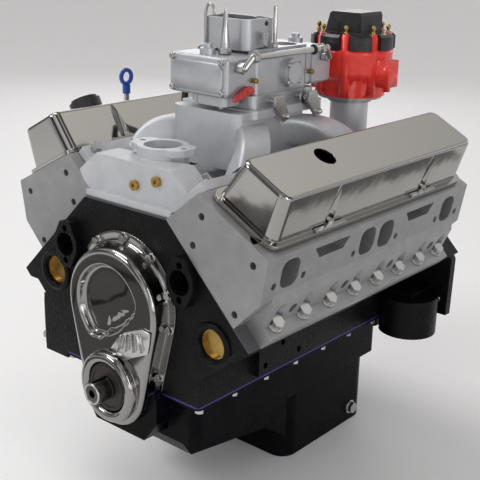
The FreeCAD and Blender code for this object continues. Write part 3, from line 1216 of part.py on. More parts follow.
def intake_manifold():
    intake = Casting("intake_manifold")
    flange_out = "intake_gasket_thick + intake_flange_thick"
    for side in (1, -1):
        face = intake_plane(side, size("intake_gasket_thick"))
        tall, thick, half = face_tall(), size("intake_flange_thick"), size("intake_half")
        plate = Part.makeBox(tall - 4, 2 * half, thick, Vector(2 - tall / 2, -half, 0))
        plate.Placement = face
        intake.take(plate)
        for way in (-1, 1):
            intake.take(runner(side, way))
    foot = "intake_foot"
    intake.add("front", [box("0", f"{foot} + 4", "2 * valley_plate_half", "8")], "3", "block_length - 6")
    # plenum, carburettor pad, coolant crossover and distributor boss
    middle = "(plenum_front + plenum_rear) / 2"
    intake.add("top", [rounded(box("0", f"-({middle})", "2 * plenum_half", "plenum_front - plenum_rear"),
                               "14")], f"{foot} + 30", f"pad_top - {foot} - 32")
    intake.add("top", [rounded(box("0", "-carb_back", "2 * pad_half_x", "2 * pad_half_y"), "10")],
               "pad_top - pad_thick", "pad_thick")
    intake.add("front", [cross_outline()], "463", "42")
    intake.add("top", [circle("0", "-thermostat_back", "thermostat_dia / 2 + 9"),], foot,
               f"thermostat_top - {foot}")
    intake.add("top", [rounded(box("0", "-thermostat_back", "98", "46"), "18")], "thermostat_top - 9", "9")
    intake.add("top", [circle("spark_x", "-spark_back", "spark_boss_r")], foot, f"spark_base_z - {foot}")
    intake.add("front", [[("-60", f"{foot} + 2"), ("60", f"{foot} + 2"), ("60", f"{foot} + 46"),
                          ("-60", f"{foot} + 46")]], "90", "128")
    # the hollows, and the two head faces that it sits between
    for side in (1, -1):
        beyond = Part.makeBox(300, 700, 120, Vector(-150, -350, -120))
        beyond.Placement = intake_plane(side, size("intake_gasket_thick"))
        intake.take(beyond, cut=True)
    bores = [circle(f"{way} * barrel_x", f"-carb_back + {step} * barrel_y", "bore_primary / 2")
             for way in (-1, 1) for step in (-1, 1)]
    intake.cut("top", bores, "pad_top - 40", "41")
    intake.cut("top", [rounded(box("0", f"-({middle})", "2 * plenum_half - 16",
                                   "plenum_front - plenum_rear - 16"), "10")], f"{foot} + 40", "40")
    intake.cut("top", [circle("0", "-thermostat_back", "thermostat_dia / 2")], "thermostat_top - 40", "41")
    intake.cut("top", [circle(f"{way} * 38", "-thermostat_back", "4.4") for way in (-1, 1)],
               "thermostat_top - 20", "21")
    intake.cut("top", [circle("spark_x", "-spark_back", "spark_tail_dia / 2 + bolt_gap")], f"{foot} - 1", "100")
    for side in (1, -1):
        face = intake_plane(side)
        for way in (-1, 1):
            for step in (-1, 1):
                port = rounded_slab(size("intake_port_tall / 2"), size("intake_port_wide / 2"), 5, 24)
                port.translate(Vector(0, way * size("bore_spacing") + step * size("intake_port_half"), -2))
                port.Placement = face.multiply(port.Placement)
                intake.take(port, cut=True)
            for x, y in INTAKE_BOLTS:
                hole = rod(4.7, (side * float(x), way * float(y), -2), (side * float(x), way * float(y), 30))
                hole.Placement = face
                intake.take(hole, cut=True)
    return intake.finish()


def cross_outline():
    """The coolant crossover's outline, seen from the front."""
    return [("-92", "intake_foot + 8"), ("92", "intake_foot + 8"), ("104", "intake_foot + 30"),
            ("70", "intake_foot + 58"), ("-70", "intake_foot + 58"), ("-104", "intake_foot + 30")]


def runner(side, way):
    """One paired runner, arching from a head's flange up to the plenum."""
    out = intake_plane(side, size("intake_gasket_thick + intake_flange_thick") - 3)
    normal = out.Rotation.multVec(Vector(0, 0, 1))
    y = way * size("bore_spacing")
    start = out.multVec(Vector(0, y, 0))
    wide, tall = size("runner_wide"), size("runner_tall")
    half_plenum = size("plenum_front - plenum_rear - runner_wide - 12") / 2
    plenum = way * half_plenum - size("(plenum_front + plenum_rear) / 2")
    end = Vector(side * (size("plenum_half") - 8), plenum, size("pad_top") - 40)
    bend = start * 0.5 + end * 0.5 + Vector(side * 4, 0, 14)
    middle_normal = (-side * 0.85, 0, 0.53)
    wires = [section_wire(start, normal, wide, tall), section_wire(bend, middle_normal, wide - 4, tall - 2),
             section_wire(end, (-side, 0, 0.0), wide - 6, tall - 4)]
    return Part.makeLoft(wires, True, False)


def intake_bolts():
    made = []
    shape = bolt(14, 8, 4.5, 32, 2)
    for side in (1, -1):
        top = intake_plane(side, size("intake_gasket_thick + intake_flange_thick"))
        for way in (-1, 1):
            for x, y in INTAKE_BOLTS:
                local = Placement(Vector(side * float(x), way * float(y), 0), Rotation())
                made.append(copies(shape, [top.multiply(local)]))
    return keep_shape("intake_bolts", Part.makeCompound([s for c in made for s in c.Solids]))


def pan_bolt_spots():
    return [(f"{side} * rail_bolt_x", f"-pan_rear - 14 - {k} * (block_length - pan_rear - 24) / 7")
            for side in (1, -1) for k in range(8)]


# the sump in steps: half width, rear, front and depth
PAN_STEPS = [("pan_half", "pan_rear", "sump_rear + 12", "30"),
             ("hump_half", "pan_rear", "sump_rear + 12", "hump_low"),
             ("hump_half", "well_rear", "sump_rear + 12", "well_low"),
             ("pan_half", "sump_rear", "pan_front", "tray_low")]


def oil_pan():
    pan = Casting("oil_pan")
    rail = "pan_gasket_thick"
    pan.add("top", [rounded(strip("rail_half", "pan_rear", "block_length"), "8")],
            f"-{rail} - pan_flange_thick", "pan_flange_thick")
    for half, rear, front, low in PAN_STEPS:
        pan.add("top", [rounded(strip(half, rear, front), "14")], f"-({low})", f"{low} - {rail}")
        pan.cut("top", [rounded(strip(f"{half} - pan_wall", f"{rear} + pan_wall", f"{front} - pan_wall"), "12")],
                f"-({low}) + pan_wall", f"{low}")
    pan.add("top", [rounded(strip("sump_half", "sump_rear", "sump_front"), "26")], "-sump_low",
            "sump_low - 60")
    pan.cut("top", [rounded(strip("sump_half - pan_wall", "sump_rear + pan_wall", "sump_front - pan_wall"),
                            "24")], "-sump_low + pan_wall", "sump_low")
    ramp = [("-pan_front", "-50"), ("-pan_front", "-tray_low"), ("-pan_front + 16", "-tray_low - 23"),
            ("-sump_front - 45", "-tray_low - 48"), ("-sump_front", "-tray_low - 78"),
            ("-sump_front + 30", "-tray_low - 112"), ("-sump_front + 30", "-50")]
    pan.add("side", [ramp], "-sump_half + 6", "2 * sump_half - 12")
    inner = [("-pan_front + pan_wall", "-45"), ("-pan_front + pan_wall", "-tray_low"),
             ("-pan_front + pan_wall + 15", "-tray_low - 21"), ("-sump_front - 45", "-tray_low - 45"),
             ("-sump_front + pan_wall", "-tray_low - 75"), ("-sump_front + 32", "-tray_low - 107"),
             ("-sump_front + 32", "-45")]
    pan.cut("side", [inner], "-sump_half + 6 + pan_wall", "2 * (sump_half - 6 - pan_wall)")
    lip = [("-lip_half", f"-{rail}"), ("-lip_half", "-40"), ("-lip_half + 24", "-tray_low"),
           ("lip_half - 24", "-tray_low"), ("lip_half", "-40"), ("lip_half", f"-{rail}")]
    pan.add("front", [lip], "pan_front - 2", "lip_front - pan_front + 2")
    pan.cut("front", [circle("0", "0", "cover_neck_r - 2")], "pan_front - 6", "lip_front - pan_front + 10")
    pan.cut("front", [circle("0", "0", "front_seal_r + 0.2")], "block_length", "lip_front - block_length + 1")
    pan.cut("front", [box("0", "-29", "128", "62")], "pan_front - 6", "9.5")
    pan.cut("front", [box("0", "-24.15", "2 * cap_half - 24 + 0.6", "48.3")], "pan_rear - 1", "9")
    pan.cut("top", [circle(x, y, "rail_bolt_dia / 2 + bolt_gap") for x, y in pan_bolt_spots()],
            f"-{rail} - pan_flange_thick - 1", "5")
    pan.cut("side", [circle("-sump_rear - 42", "-sump_low + 24", "6.3")], "sump_half - 10", "20")
    return pan.finish()


def strip(half, rear, front):
    """A rectangle seen from above: half wide, between two distances forward."""
    return [(f"-({half})", f"-({front})"), (half, f"-({front})"), (half, f"-({rear})"),
            (f"-({half})", f"-({rear})")]


def oil_pan_gasket():
    """The rail gasket, and the half ring under the timing cover's neck."""
    gasket = Casting("oil_pan_gasket")
    thick = "pan_gasket_thick"
    gasket.add("top", [rounded(strip("rail_half", "pan_rear", "block_length"), "8")], f"-{thick}", thick)
    gasket.cut("top", [strip("case_half", "pan_rear + 6.5", "pan_front + 3.5")], f"-{thick} - 1", f"{thick} + 2")
    gasket.cut("front", [circle("0", "0", "cover_neck_r - 2")], "pan_front", "block_length - pan_front + 0.5")
    gasket.cut("front", [box("0", "0", "2 * cap_half - 24 + 0.6", "20")], "pan_rear - 1", "9")
    gasket.cut("top", [circle(x, y, "rail_bolt_dia / 2 + bolt_gap") for x, y in pan_bolt_spots()],
               f"-{thick} - 1", f"{thick} + 2")
    neck = keyhole("0", "cover_neck_r + 0.2", "cover_round_z", "cover_round_r + 0.2")
    gasket.cut("front", [neck], "block_length + 1", "lip_front - block_length")
    gasket.take(ring(size("front_seal_r"), size("cover_neck_r") + 0.2, 0,
                                 size("block_length") + 2, size("lip_front") - 2)
                            .common(Part.makeBox(200, 60, 90, Vector(-100, -size("lip_front"), -92.5))))
    return gasket.finish()


def oil_pan_bolts():
    seat = size("pan_gasket_thick + pan_flange_thick")
    turned = Rotation(Vector(1, 0, 0), 180)
    places = [Placement(Vector(size(x), size(y), -seat), turned) for x, y in pan_bolt_spots()]
    return keep_shape("oil_pan_bolts", copies(bolt(11, 6, size("rail_bolt_dia / 2"), seat + 12), places))


def oil_drain_plug():
    shape = bolt(17, 7, 6, 7, 2)
    spot = Vector(size("sump_half"), -size("sump_rear + 42"), -size("sump_low - 24"))
    return keep_shape("oil_drain_plug", copies(shape, [Placement(spot, facing((1, 0, 0)))]))


def oil_pump():
    """The pump under the rear main cap, driven through the distributor's shaft."""
    x, y, top = size("spark_x"), -size("spark_back"), -size("pump_top")
    body = rod(size("pump_r"), (x, y, top), (x, y, top - 32))
    column = Part.makeBox(20, 16, -size("cap_deep") - top + 2, Vector(14, -58, top - 2))
    pipe = rod(7, (x, y - 10, top - 22), (20, -170, -158)).fuse(
        [rod(7, (20, -170, -158), (20, -170, -172)), rod(28, (20, -170, -172), (20, -170, -184))])
    pipe = pipe.fuse(Part.makeSphere(7, Vector(20, -170, -158)))
    shape = body.fuse([column, pipe])
    shape = shape.cut(rod(size("pump_drive_dia / 2") + 0.15, (x, y, top + 1), (x, y, top - 10)))
    return keep_shape("oil_pump", shape)


def fuel_pump_plate():
    face = -size("fuel_pad_x")
    y, half = -size("fuel_pad_back"), size("fuel_pad_half") - 3
    plate = Part.makeBox(5, 2 * half, 84, Vector(face - 5, y - half, -12))
    plate = plate.makeFillet(8, [edge for edge in plate.Edges if edge.BoundBox.XLength > 4])
    heads = [bolt(13, 7, 4, 4.5, 1.5) for _ in range(2)]
    places = [Placement(Vector(face - 5, y + way * (half - 9), 31 + way * 28), facing((-1, 0, 0)))
              for way in (-1, 1)]
    return keep_shape("fuel_pump_plate", plate.fuse([copies(heads[0], places)]))


def crank_seal():
    outer, inner = size("seal_dia / 2 - seat_gap"), size("snout_dia / 2 + snout_step + 0.1")
    return keep_shape("crank_seal", ring(outer, inner, 0, size("cover_front") - 3, size("seal_front") - 3))


def timing_cover_bolts():
    face = size("block_length + cover_wall")
    shape = bolt(9, 6, 3.2, size("cover_wall") - 0.2, 1.2)
    places = [Placement(Vector(size(x), -face, size(z)), facing((0, -1, 0))) for x, z in cover_bolt_spots()]
    return keep_shape("timing_cover_bolts", copies(shape, places))


def brass_plugs():
    """Threaded plugs: two in the intake's crossover, and one in each head."""
    ahead = facing((0, -1, 0))
    plug = rod(7, (0, 0, 0), (0, 0, 5)).cut(slab([(-2.5, -2.5, 0), (2.5, -2.5, 0), (2.5, 2.5, 0),
                                                   (-2.5, 2.5, 0)], (0, 0, 2), (0, 0, 8)))
    places = [Placement(Vector(6, -505, 274), ahead), Placement(Vector(46, -505, 286), ahead)]
    return keep_shape("brass_plugs", copies(plug, places))


def barrels():
    return [circle(f"{way} * barrel_x", f"-carb_back + {step} * barrel_y", "bore_primary / 2")
            for way in (-1, 1) for step in (-1, 1)]


def carburettor_base():
    base = Casting("carburettor_base")
    base.add("top", [rounded(box("0", "-carb_back", "120", "2 * main_body_half + 24"), "10")], "pad_top",
             "base_thick")
    base.cut("top", barrels(), "pad_top - 1", "base_thick + 2")
    for step in (-1, 1):
        base.cut("side", [circle(f"-carb_back + {step} * barrel_y", "throttle_z", "throttle_dia / 2 + run_gap")],
                 "-70", "140")
    return base.finish()


def carburettor_body():
    body = Casting("carburettor_body")
    low = "pad_top + base_thick"
    body.add("top", [rounded(box("0", "-carb_back", "2 * carb_half_wide", "2 * main_body_half"), "6")], low,
             f"body_top - ({low})")
    middle = "(horn_front + horn_rear) / 2"
    body.add("top", [rounded(box("0", f"-({middle})", "2 * horn_half", "horn_front - horn_rear"), "12")],
             "body_top - 2", "horn_top - body_top + 2")
    round_lid = ("-diaphragm_back", "diaphragm_z")
    body.add("side", [circle(*round_lid, "diaphragm_r")], "carb_half_wide - 10", "17")
    body.add("side", [circle(*round_lid, "diaphragm_r - 5")], "carb_half_wide + 6", "4")
    body.cut("top", barrels(), f"{low} - 1", f"body_top - ({low}) + 2")
    body.cut("top", [rounded(box("0", f"-({middle})", "2 * horn_half - 6", "horn_front - horn_rear - 6"), "9")],
             "body_top - 14", "horn_top - body_top + 15")
    body.cut("side", [circle(f"-({middle})", "choke_z", "3.05")], "-horn_half - 1", "2 * horn_half + 2")
    return body.finish()


def metering_blocks():
    blocks = Casting("metering_blocks")
    for start in ("carb_back + main_body_half", "carb_back - main_body_half - metering_thick"):
        blocks.add("front", [rounded(box("0", "(bowl_low + bowl_high) / 2", "2 * carb_half_wide - 4",
                                         "bowl_high - bowl_low - 2"), "6")], start, "metering_thick")
    return blocks.finish()


def float_bowl(label, way):
    """A fuel bowl: way is 1 for the front one and -1 for the rear one."""
    bowl = Piece(label)
    near = "main_body_half + metering_thick"
    start = f"carb_back + {near}" if way > 0 else "carb_back - bowl_face"
    bowl.add("front", [rounded(box("0", "(bowl_low + bowl_high) / 2", "2 * carb_half_wide",
                                   "bowl_high - bowl_low"), "7")], start, f"bowl_face - ({near})")
    end = -size("carb_back + bowl_face") if way > 0 else -size("carb_back - bowl_face")
    bowl.soften(lambda edge: abs(edge.BoundBox.YMin - end) < 0.1 and edge.BoundBox.YLength < 0.1, "4")
    middle = f"carb_back + {way} * (bowl_face - 20)"
    bowl.add("top", [circle("0", f"-({middle})", "11")], "bowl_high - 3", "11")
    bowl.add("top", [circle("0", f"-({middle})", "6")], "bowl_high + 6", "8")
    if way > 0:
        pump = rounded(box("14", f"-({middle}) + 6", "56", "38"), "10")
        bowl.add("top", [pump], "bowl_low - pump_body_deep", "pump_body_deep + 4")
    return bowl


def bent_tube(radius, points):
    """A tube through points, with round elbows."""
    runs = [rod(radius, a, b) for a, b in zip(points, points[1:])]
    elbows = [Part.makeSphere(radius, Vector(*p)) for p in points[1:-1]]
    return runs[0].fuse(runs[1:] + elbows)


def fuel_transfer_tube():
    x, z = size("tube_x"), size("tube_z")
    low = size("bowl_high") - 14
    side = size("carb_half_wide")
    front, rear = -size("carb_back + bowl_face - 22"), -size("carb_back - bowl_face + 22")
    points = [(side, front, low), (x - 3, front, low), (x, front + 12, z), (x, rear - 12, z),
              (x - 3, rear, low), (side, rear, low)]
    return keep_shape("fuel_transfer_tube", bent_tube(4.5, points))


def vacuum_hose():
    side = -size("carb_half_wide")
    y = -size("carb_back")
    points = [(side, y, 412), (side - 10, y, 412), (side - 22, y - 2, 424), (side - 42, y - 8, 420),
              (side - 56, y - 14, 396), (side - 62, y - 20, 360), (side - 60, y - 26, 330)]
    return keep_shape("vacuum_hose", bent_tube(5, points))


def throttle(label, step, reach):
    """A throttle shaft with its two plates and its lever."""
    y, z = -size(f"carb_back + {step} * barrel_y"), size("throttle_z")
    shaft = rod(size("throttle_dia / 2"), (-66, y, z), (reach, y, z))
    plates = [rod(size("bore_primary / 2") - 0.1, (way * size("barrel_x"), y, z - 0.8),
                  (way * size("barrel_x"), y, z + 0.8)) for way in (-1, 1)]
    lever = slab([(0, 9, 9), (0, -9, 9), (0, -9, -6), (0, 12, -30), (0, 24, -26)], (reach - 4, y, z), (4, 0, 0))
    ball = Part.makeSphere(4, Vector(reach + 2, y + 16, z - 22))
    return keep_shape(label, shaft.fuse(plates + [lever, ball]))


def choke_plate():
    y, z = -size("(horn_front + horn_rear) / 2"), size("choke_z")
    shaft = rod(3, (-size("horn_half") - 4, y, z), (size("horn_half") + 10, y, z))
    half = size("choke_half")
    wide = size("horn_half") - 4
    plate = Part.makeBox(2 * wide, 1.4, 2 * half, Vector(-wide, y - 0.7, z - half))
    plate = plate.makeFillet(size("choke_corner"), [edge for edge in plate.Edges if edge.BoundBox.YLength > 1])
    lever = slab([(0, 6, 6), (0, -6, 6), (0, -6, -10), (0, 2, -14)], (size("horn_half") + 6, y, z), (3, 0, 0))
    return keep_shape("choke_plate", shaft.fuse([plate, lever]))


def pump_lever():
    """The accelerator pump's lever, on a pin in the front bowl's side."""
    side = size("carb_half_wide")
    y, z = -size("carb_back + bowl_face") + 36, size("bowl_low") + 2
    pin = rod(3, (side, y, z + 6), (side + 9, y, z + 6))
    arm = slab([(0, -28, -6), (0, -28, 0), (0, -4, 12), (0, 8, 12), (0, 14, 4), (0, 0, 0)],
               (side + 3, y, z), (5, 0, 0))
    return keep_shape("pump_lever", arm.fuse(pin))


def distributor_housing():
    house = Casting("distributor_housing")
    low, base, top = "cam_height + spark_gear_r + 2", "spark_base_z", "spark_body_low"
    house.spin([("0", low), ("spark_tail_dia / 2", low), ("spark_tail_dia / 2", base), ("34", base),
                ("34", f"{base} + 4"), ("50", f"{base} + 7"), ("50", top), ("0", top)],
               at=("spark_x", "spark_back"))
    house.cut("top", [circle("spark_x", "-spark_back", "rotor_shaft_dia / 2 + run_gap")], f"{low} - 1",
              f"{top} - ({low}) + 2")
    return house.finish()


def distributor_cap():
    cap = Casting("distributor_cap")
    low, high = "spark_body_low", "spark_cap_high"
    wide = "spark_cap_dia / 2"
    cap.spin([("0", low), (f"{wide} - 11", low), (f"{wide} - 9", f"{low} + 26"), (f"{wide} - 4", f"{low} + 32"),
              (f"{wide} - 2", high), ("0", high)], at=("spark_x", "spark_back"))
    cap.add("top", [rounded(box(f"spark_x + {wide} - 2", "-spark_back", "28", "34"), "5")], f"{low} + 18",
            "40")
    for k, (x, y) in enumerate(tower_spots()):
        cap.add("top", [circle(x, y, "tower_r")], f"{high} - 12", f"spark_rim_high + 8 - {high} + 12")
        cap.add("top", [circle(x, y, "tower_r - 2")], "spark_rim_high + 7", "9")
        side = 22.5 + 45 * k
        rib = f"spark_x + ({wide} - 9) * sin({side})", f"-spark_back + ({wide} - 9) * cos({side})"
        cap.add("top", [circle(*rib, "tower_r - 1")], f"{low} + 6", f"{high} - {low} - 6")
    cap.spin([("0", f"{low} - 1"), (f"{wide} - 17", f"{low} - 1"), (f"{wide} - 15", f"{high} - 6"),
              ("0", f"{high} - 6")], at=("spark_x", "spark_back"), cut=True)
    return cap.finish()


def coil_cover():
    cover = Casting("coil_cover")
    low, high, wide = "spark_cap_high", "spark_rim_high", "spark_cap_dia / 2"
    cover.spin([("0", low), (wide, low), (wide, f"{high} - 4"), (f"{wide} - 4", high), ("0", high)],
               at=("spark_x", "spark_back"))
    cover.add("front", [[("spark_x - coil_half_x", f"{high} - 1"), ("spark_x + coil_half_x", f"{high} - 1"),
                         ("spark_x + coil_half_x", "coil_top - 5"), ("spark_x + coil_half_x - 3", "coil_top"),
                         ("spark_x - coil_half_x + 12", "coil_top"),
                         ("spark_x - coil_half_x + 8", "coil_top - 3")]],
              "spark_back - coil_half_y", "2 * coil_half_y")
    for k, (x, y) in enumerate(tower_spots()):
        cover.cut("top", [circle(x, y, "tower_r + 0.4")], f"{low} - 1", f"{high} - {low} + 2")
        side = 22.5 + 45 * k
        outer = f"spark_x + {wide} * sin({side})", f"-spark_back + {wide} * cos({side})"
        cover.cut("top", [circle(*outer, "tower_r + 0.4")], f"{low} - 1", f"{high} - {low} + 2")
    return cover.finish()


def tower_spots():
    """The middles of the cap's eight high-tension towers."""
    spots = []
    for k in range(8):
        angle = 22.5 + 45 * k
        spots.append((f"spark_x + (spark_cap_dia / 2 - 11) * sin({angle})",
                      f"-spark_back + (spark_cap_dia / 2 - 11) * cos({angle})"))
    return spots


def distributor_rotor():
    """The distributor's shaft, with its gear, the rotor arm and the oil pump's drive."""
    x, y, z = size("spark_x"), -size("spark_back"), size("cam_height")
    radius, gear = size("rotor_shaft_dia / 2"), size("spark_gear_r")
    shaft = rod(radius, (x, y, z), (x, y, size("rotor_top") - 8))
    wheel = rod(gear, (x, y, z - gear), (x, y, z + gear))
    drive = rod(size("pump_drive_dia / 2"), (x, y, -size("pump_top") - 8), (x, y, z))
    arm = rod(16, (x, y, size("rotor_top") - 14), (x, y, size("rotor_top")))
    blade = Part.makeBox(12, 42, 6, Vector(x - 6, y, size("rotor_top") - 6))
    return keep_shape("distributor_rotor", shaft.fuse([wheel, drive, arm, blade]))


def dipstick_tube():
    x, y = -size("stick_x"), -size("stick_back")
    foot = (-size("rail_half") - 1, y, size("stick_foot_z"))
    points = [foot, (-152, y, size("stick_foot_z")), (-206, y, 36), (-262, y, 96), (x, y, 150),
              (x, y, size("stick_top"))]
    tube = bent_tube(4.5, points)
    tube = tube.cut(rod(3, (x, y, 155), (x, y, size("stick_top") + 1)))
    return keep_shape("dipstick_tube", tube)


def dipstick():
    x, y, top = -size("stick_x"), -size("stick_back"), size("stick_top")
    blade = rod(2.6, (x, y, top - 160), (x, y, top + 4))
    collar = rod(6.5, (x, y, top), (x, y, top + 14))
    grip = Part.makeTorus(11, 3.5, Vector(x, y, top + 27), Vector(1, 0, 0))
    return keep_shape("dipstick", blade.fuse([collar, grip]))


def breather_cap():
    """A vented cap on the right cover, pushed into its hole."""
    top = rail_place(-1, size("cover_gasket_thick + cover_high"))
    plug = rod(size("grommet_dia / 2") - 0.1, (0, 0, -8), (0, 0, 0))
    shape = plug.fuse([rod(24, (0, 0, 0), (0, 0, 18)), rod(20, (0, 0, 17), (0, 0, 22))])
    place = top.multiply(Placement(Vector(0, size("breather_reach"), 0), Rotation()))
    return keep_shape("breather_cap", copies(shape, [place]))


engine_block()
core_plugs()
plain_bearings()
main_bearing_caps()
main_cap_bolts()
crankshaft()
sprocket("crank_sprocket", "crank_teeth", "0", 180, "snout_dia / 2 + snout_step + seat_gap", "24")
camshaft()
sprocket("cam_sprocket", "cam_teeth", "cam_height", 0, "", "22")
timing_chain()
for bank in (1, -1):
    for row in range(4):
        piston(bank, row)
connecting_rods()
cylinder_head("cylinder_head_left", 1)
cylinder_head("cylinder_head_right", -1)
top_end_gaskets()
head_bolts()
valves_and_springs()
lifters_and_pushrods()
rocker_arms()
valve_cover("valve_cover_left", 1)
valve_cover("valve_cover_right", -1)
valve_cover_bolts()
intake_manifold()
intake_bolts()
brass_plugs()
timing_cover()
timing_cover_bolts()
crank_seal()
oil_pan()
oil_pan_gasket()
oil_pan_bolts()
oil_drain_plug()
oil_pump()
fuel_pump_plate()
carburettor_base()
carburettor_body()
metering_blocks()
float_bowl("front_float_bowl", 1)
float_bowl("rear_float_bowl", -1)
fuel_transfer_tube()
vacuum_hose()
throttle("primary_throttle", -1, 84)
throttle("secondary_throttle", 1, 76)
choke_plate()
pump_lever()
distributor_housing()
distributor_cap()
coil_cover()
distributor_rotor()
dipstick_tube()
dipstick()
breather_cap()

doc.recompute()
for thing in doc.Objects:
    if "Invalid" in thing.State or "Error" in thing.State:
        raise RuntimeError(f"{thing.Label} was not made: {thing.State}")
os.makedirs("parts", exist_ok=True)
for thing in PARTS:
    if thing.Shape.isNull() or not thing.Shape.isValid():
        raise RuntimeError(f"{thing.Label} has no valid shape")
    thing.Shape.exportStep(f"parts/{thing.Label}.step")
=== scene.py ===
# %% [markdown]
# # A complete V8 engine, dressed for its portrait
# The engine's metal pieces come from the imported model, each as its own mesh in metres. This
# notebook gives every one of them a believable finish, adds the small things that a foundry, a
# plating shop and a fitter would leave on it, and lights it in a pale studio.

# %% Load the frame
import json
import math
import bpy
from mathutils import Matrix, Vector


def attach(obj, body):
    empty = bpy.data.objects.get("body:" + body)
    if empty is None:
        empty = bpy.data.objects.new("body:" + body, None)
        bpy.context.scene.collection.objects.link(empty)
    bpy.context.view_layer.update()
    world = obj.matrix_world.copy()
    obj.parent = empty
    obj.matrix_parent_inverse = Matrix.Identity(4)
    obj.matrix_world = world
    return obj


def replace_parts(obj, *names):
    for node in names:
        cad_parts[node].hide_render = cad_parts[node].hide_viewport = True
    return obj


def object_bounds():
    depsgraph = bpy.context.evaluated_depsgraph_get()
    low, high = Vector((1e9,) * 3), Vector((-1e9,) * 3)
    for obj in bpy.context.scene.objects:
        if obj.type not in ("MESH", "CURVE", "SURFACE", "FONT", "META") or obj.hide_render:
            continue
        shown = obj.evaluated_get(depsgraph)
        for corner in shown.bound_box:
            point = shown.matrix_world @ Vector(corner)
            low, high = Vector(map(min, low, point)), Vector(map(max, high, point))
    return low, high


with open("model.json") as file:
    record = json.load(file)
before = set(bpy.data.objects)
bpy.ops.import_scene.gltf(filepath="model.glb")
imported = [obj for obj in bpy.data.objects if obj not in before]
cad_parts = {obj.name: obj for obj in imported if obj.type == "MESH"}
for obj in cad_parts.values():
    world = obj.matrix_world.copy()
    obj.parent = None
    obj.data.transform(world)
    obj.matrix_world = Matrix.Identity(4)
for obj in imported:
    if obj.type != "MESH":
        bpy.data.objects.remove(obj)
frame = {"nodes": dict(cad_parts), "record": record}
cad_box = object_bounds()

nodes_of_cad = frame["nodes"]
print("nodes:", len(nodes_of_cad), "box:", [round(value, 3) for corner in cad_box for value in corner])

# %% [markdown]
# ## The camera
# The engine is seen from its front left, from a little above it, through a long lens. A camera
# is only three directions and a place, so the directions are worked out from the two viewing
# angles and a slight roll, and written straight into its matrix.

# %% The camera's place and directions
AZIMUTH = math.radians(40.03)
ELEVATION = math.radians(18.36)
ROLL = math.radians(1.32)
CAMERA_AT = Vector((0.8852, -1.3386, 0.6015))
LENS = 72.04
SENSOR_WIDTH = 36

back = Vector((math.sin(AZIMUTH) * math.cos(ELEVATION), -math.cos(AZIMUTH) * math.cos(ELEVATION),
               math.sin(ELEVATION)))
level_right = Vector((math.cos(AZIMUTH), math.sin(AZIMUTH), 0))
level_up = back.cross(level_right)
right = level_right * math.cos(ROLL) + level_up * math.sin(ROLL)
up = back.cross(right)
bpy.ops.object.camera_add()
camera = bpy.context.object
camera.name = "studio_camera"
camera.matrix_world = Matrix.Translation(CAMERA_AT) @ Matrix((right, up, back)).transposed().to_4x4()
camera.data.lens = LENS
camera.data.sensor_width = SENSOR_WIDTH
bpy.context.scene.camera = camera
print("camera at", tuple(CAMERA_AT))

# %% [markdown]
# ## The floor
# The studio floor is a wide pale sheet just under the oil pan. Its finish is the plainest kind,
# one colour and one roughness on a Principled shader, and every other finish starts from it.

# %% A plain finish and the floor
FLOOR_SIZE = 60
FLOOR_GAP = 0.0005
FLOOR_TONE = (0.97, 0.97, 0.97)
FLOOR_ROUGHNESS = 0.8
STANDS_AT = cad_box[0][2]


def shader_of(finish):
    return finish.node_tree.nodes["Principled BSDF"]


def plain_finish(name, colour, metallic, roughness):
    finish = bpy.data.materials.new(name)
    finish.use_nodes = True
    shader = shader_of(finish)
    shader.inputs["Base Color"].default_value = (*colour, 1)
    shader.inputs["Metallic"].default_value = metallic
    shader.inputs["Roughness"].default_value = roughness
    return finish


bpy.ops.object.select_all(action="DESELECT")
bpy.ops.mesh.primitive_plane_add(size=FLOOR_SIZE, location=(0, 0, STANDS_AT - FLOOR_GAP))
floor = bpy.context.object
floor.name = "studio_floor"
floor.data.materials.append(plain_finish("pale_floor", FLOOR_TONE, 0, FLOOR_ROUGHNESS))
bpy.context.scene.view_settings.view_transform = "Standard"
print("floor at", round(STANDS_AT - FLOOR_GAP, 4))

# %% [markdown]
# ## The room that the plating reflects
# Chrome shows nothing of its own: it shows the room. A real studio is bright low down, dark in
# its upper corners and patchy everywhere. So the surround is a ramp of tones from the horizon up
# to the ceiling, multiplied by soft dark patches of noise.

# %% The surround
SURROUND_STRENGTH = 2.0
HORIZON = (0.95, 0.95, 0.97, 1)
CEILING = (0.90, 0.88, 0.86, 1)
SKY = ((0.16, (0.85, 0.85, 0.87, 1)), (0.30, (0.20, 0.20, 0.21, 1)), (0.52, (0.40, 0.39, 0.38, 1)),
       (0.78, (0.60, 0.58, 0.56, 1)))
PATCH_SCALE = 1.7
PATCH_DETAIL = 1.5
PATCH_TONE = (0.10, 0.10, 0.11, 1)
PATCH_EDGE = (0.42, 0.54)

world = bpy.data.worlds.new("studio_surround")
bpy.context.scene.world = world
world.use_nodes = True
room_nodes = world.node_tree.nodes
surround = room_nodes["Background"]
surround.inputs["Strength"].default_value = SURROUND_STRENGTH
direction = room_nodes.new("ShaderNodeTexCoord")
split = room_nodes.new("ShaderNodeSeparateXYZ")
climb = room_nodes.new("ShaderNodeValToRGB")
climb.color_ramp.elements[0].position = 0
climb.color_ramp.elements[0].color = HORIZON
climb.color_ramp.elements[1].position = 1
climb.color_ramp.elements[1].color = CEILING
for height, tone in SKY:
    climb.color_ramp.elements.new(height).color = tone
patches = room_nodes.new("ShaderNodeTexNoise")
patches.inputs["Scale"].default_value = PATCH_SCALE
patches.inputs["Detail"].default_value = PATCH_DETAIL
contrast = room_nodes.new("ShaderNodeValToRGB")
contrast.color_ramp.elements[0].position = PATCH_EDGE[0]
contrast.color_ramp.elements[0].color = PATCH_TONE
contrast.color_ramp.elements[1].position = PATCH_EDGE[1]
room = room_nodes.new("ShaderNodeMix")
room.data_type = "RGBA"
room.blend_type = "MULTIPLY"
room.inputs["Factor"].default_value = 1
join_up = world.node_tree.links.new
